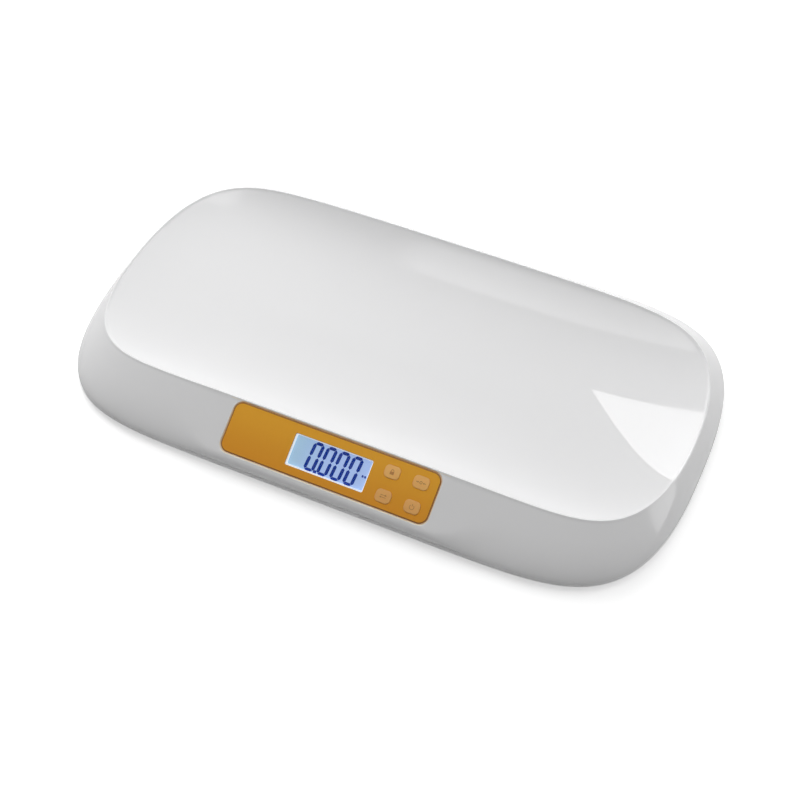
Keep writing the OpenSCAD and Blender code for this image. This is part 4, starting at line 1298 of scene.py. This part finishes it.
# The camera: its sensor in millimetres, how near and far it sees in metres, the point it is
# aimed at, and that point's shift across and up the picture in millimetres
SENSOR = 36
CLIP_NEAR, CLIP_FAR = 0.05, 100
AIM, AIM_SHIFT = (0, 0.008, 0.004), (-1.788, -30.624)


class SCALE_OT_stage(bpy.types.Operator):
    """Adds the floor, the lights, the room and the camera"""

    bl_idname = "baby_scale.stage"
    bl_label = "Stage"

    def execute(self, context):
        s = context.scene.scale_stage
        corners = [(x * FLOOR_REACH, y * FLOOR_REACH, 0) for x, y in SQUARE]
        floor = new_piece("floor", corners, [(0, 1, 2, 3)], [floor_white()])
        room_light(context, s.air)
        for name, (turn, height, size, power, mirrored) in SOFTBOXES.items():
            a, e = math.radians(turn), math.radians(height)
            towards = (math.sin(a) * math.cos(e), math.cos(a) * math.cos(e), math.sin(e))
            at = Vector(towards) * SOFTBOX_REACH
            lamp = add_softbox(context, name, power * s.light, at, -at, size)
            lamp.visible_glossy = mirrored
        add_mirror_panel(context, s.light)
        add_camera(context, s)
        context.scene.view_settings.view_transform = "Standard"
        return {"FINISHED"}


def ray_is(finish, *kinds):
    """1 on rays of any of these kinds"""
    paths = [finish.node("ShaderNodeLightPath", output=f"Is {kind} Ray") for kind in kinds]
    seen = paths[0]
    for path in paths[1:]:
        seen = finish.node("ShaderNodeMath", {"operation": "MAXIMUM"}, {0: seen, 1: path})
    return seen


def floor_white():
    """White paper that keeps the scale's shadow and otherwise runs out to plain white"""
    finish = Finish("floor_white")
    fibre = finish.noise(40, 3)
    paper = finish.mix(fibre, (0.80, 0.80, 0.80), (0.82, 0.82, 0.82))
    matt = finish.node("ShaderNodeBsdfDiffuse", inputs={"Color": paper})
    far = finish.from_middle().smooth(*FLOOR_FADE)
    strength = (1 - NEAR_SHADE * (1 - far)) * ray_is(finish, "Camera", "Transmission")
    strength = strength + MIRRORED_LIFT * ray_is(finish, "Glossy")
    lift = finish.node("ShaderNodeEmission", inputs={"Color": (1, 1, 1), "Strength": strength})
    return finish.end(finish.node("ShaderNodeAddShader", inputs={0: matt, 1: lift}))


def room_light(context, level):
    """Even light from all round, and white where it is seen directly"""
    world = bpy.data.worlds.new("room")
    context.scene.world = world
    finish = Finish("room", world)
    strength = level + (1 - level) * ray_is(finish, "Camera", "Glossy", "Transmission")
    shader = finish.node("ShaderNodeBackground", inputs={"Color": (1, 1, 1), "Strength": strength})
    finish.end(shader, "ShaderNodeOutputWorld")


def add_softbox(context, name, power, at, facing, size):
    """An oblong lamp"""
    lamp = bpy.data.lights.new(name, "AREA")
    lamp.shape, lamp.energy = "RECTANGLE", power
    lamp.size, lamp.size_y = size
    piece = bpy.data.objects.new(name, lamp)
    context.scene.collection.objects.link(piece)
    piece.location = at
    piece.rotation_euler = facing.to_track_quat("-Z", "Y").to_euler()
    return piece


def add_mirror_panel(context, level):
    """The strip that the tray's right end mirrors as a bright triangle; it lights nothing else"""
    out, along = Vector(MIRROR_FACING).normalized(), Vector(MIRROR_ALONG).normalized()
    across = along.cross(out).normalized()
    piece = add_softbox(context, "mirror_panel", MIRROR_POWER * level, Vector(MIRROR_AT), out,
                        MIRROR_SIZE)
    piece.rotation_euler = Matrix((across.cross(-out), across, -out)).transposed().to_euler()
    piece.visible_diffuse = False


def add_camera(context, s):
    """The camera, at the photograph's angle"""
    lens = bpy.data.cameras.new("camera")
    lens.sensor_width, lens.lens = SENSOR, s.lens
    lens.clip_start, lens.clip_end = CLIP_NEAR, CLIP_FAR
    camera = bpy.data.objects.new("camera", lens)
    context.scene.collection.objects.link(camera)
    a, e = s.azimuth, s.elevation
    back = Vector((math.sin(a) * math.cos(e), -math.cos(a) * math.cos(e), math.sin(e)))
    right = Vector((math.cos(a), math.sin(a), 0))
    up = back.cross(right)
    target = Vector(AIM) + right * AIM_SHIFT[0] * MM + up * AIM_SHIFT[1] * MM
    camera.location = target + back * s.distance
    camera.rotation_euler = (-back).to_track_quat("-Z", "Y").to_euler()
    context.scene.camera = camera


STEPS = (
    SCALE_OT_fittings, SCALE_OT_upper_housing, SCALE_OT_base_pan, SCALE_OT_overlay,
    SCALE_OT_display, SCALE_OT_keys, SCALE_OT_feet, SCALE_OT_battery_cover, SCALE_OT_stage,
)
GROUPS = {
    "scale_housing": ScaleHousingSizes,
    "scale_panel": ScalePanelSizes,
    "scale_finishes": ScaleFinishes,
    "scale_stage": ScaleStageSettings,
}


class SCALE_PT_build(bpy.types.Panel):
    """Lists the steps that build the scale"""

    bl_idname = "SCALE_PT_build"
    bl_label = "Baby scale"
    bl_space_type = "VIEW_3D"
    bl_region_type = "UI"
    bl_category = "Baby scale"

    def draw(self, context):
        for step in STEPS:
            self.layout.operator(step.bl_idname)
        for name, group in GROUPS.items():
            box = self.layout.box()
            for prop in group.__annotations__:
                box.prop(getattr(context.scene, name), prop)


def register():
    for group in GROUPS.values():
        bpy.utils.register_class(group)
    for name, group in GROUPS.items():
        setattr(bpy.types.Scene, name, bpy.props.PointerProperty(type=group))
    for step in STEPS:
        bpy.utils.register_class(step)
    bpy.utils.register_class(SCALE_PT_build)


def unregister():
    bpy.utils.unregister_class(SCALE_PT_build)
    for step in reversed(STEPS):
        bpy.utils.unregister_class(step)
    for name, group in GROUPS.items():
        delattr(bpy.types.Scene, name)
        bpy.utils.unregister_class(group)


def main():
    register()
    for step in STEPS:
        area, name = step.bl_idname.split(".")
        getattr(getattr(bpy.ops, area), name)()


if __name__ == "__main__":
    main()
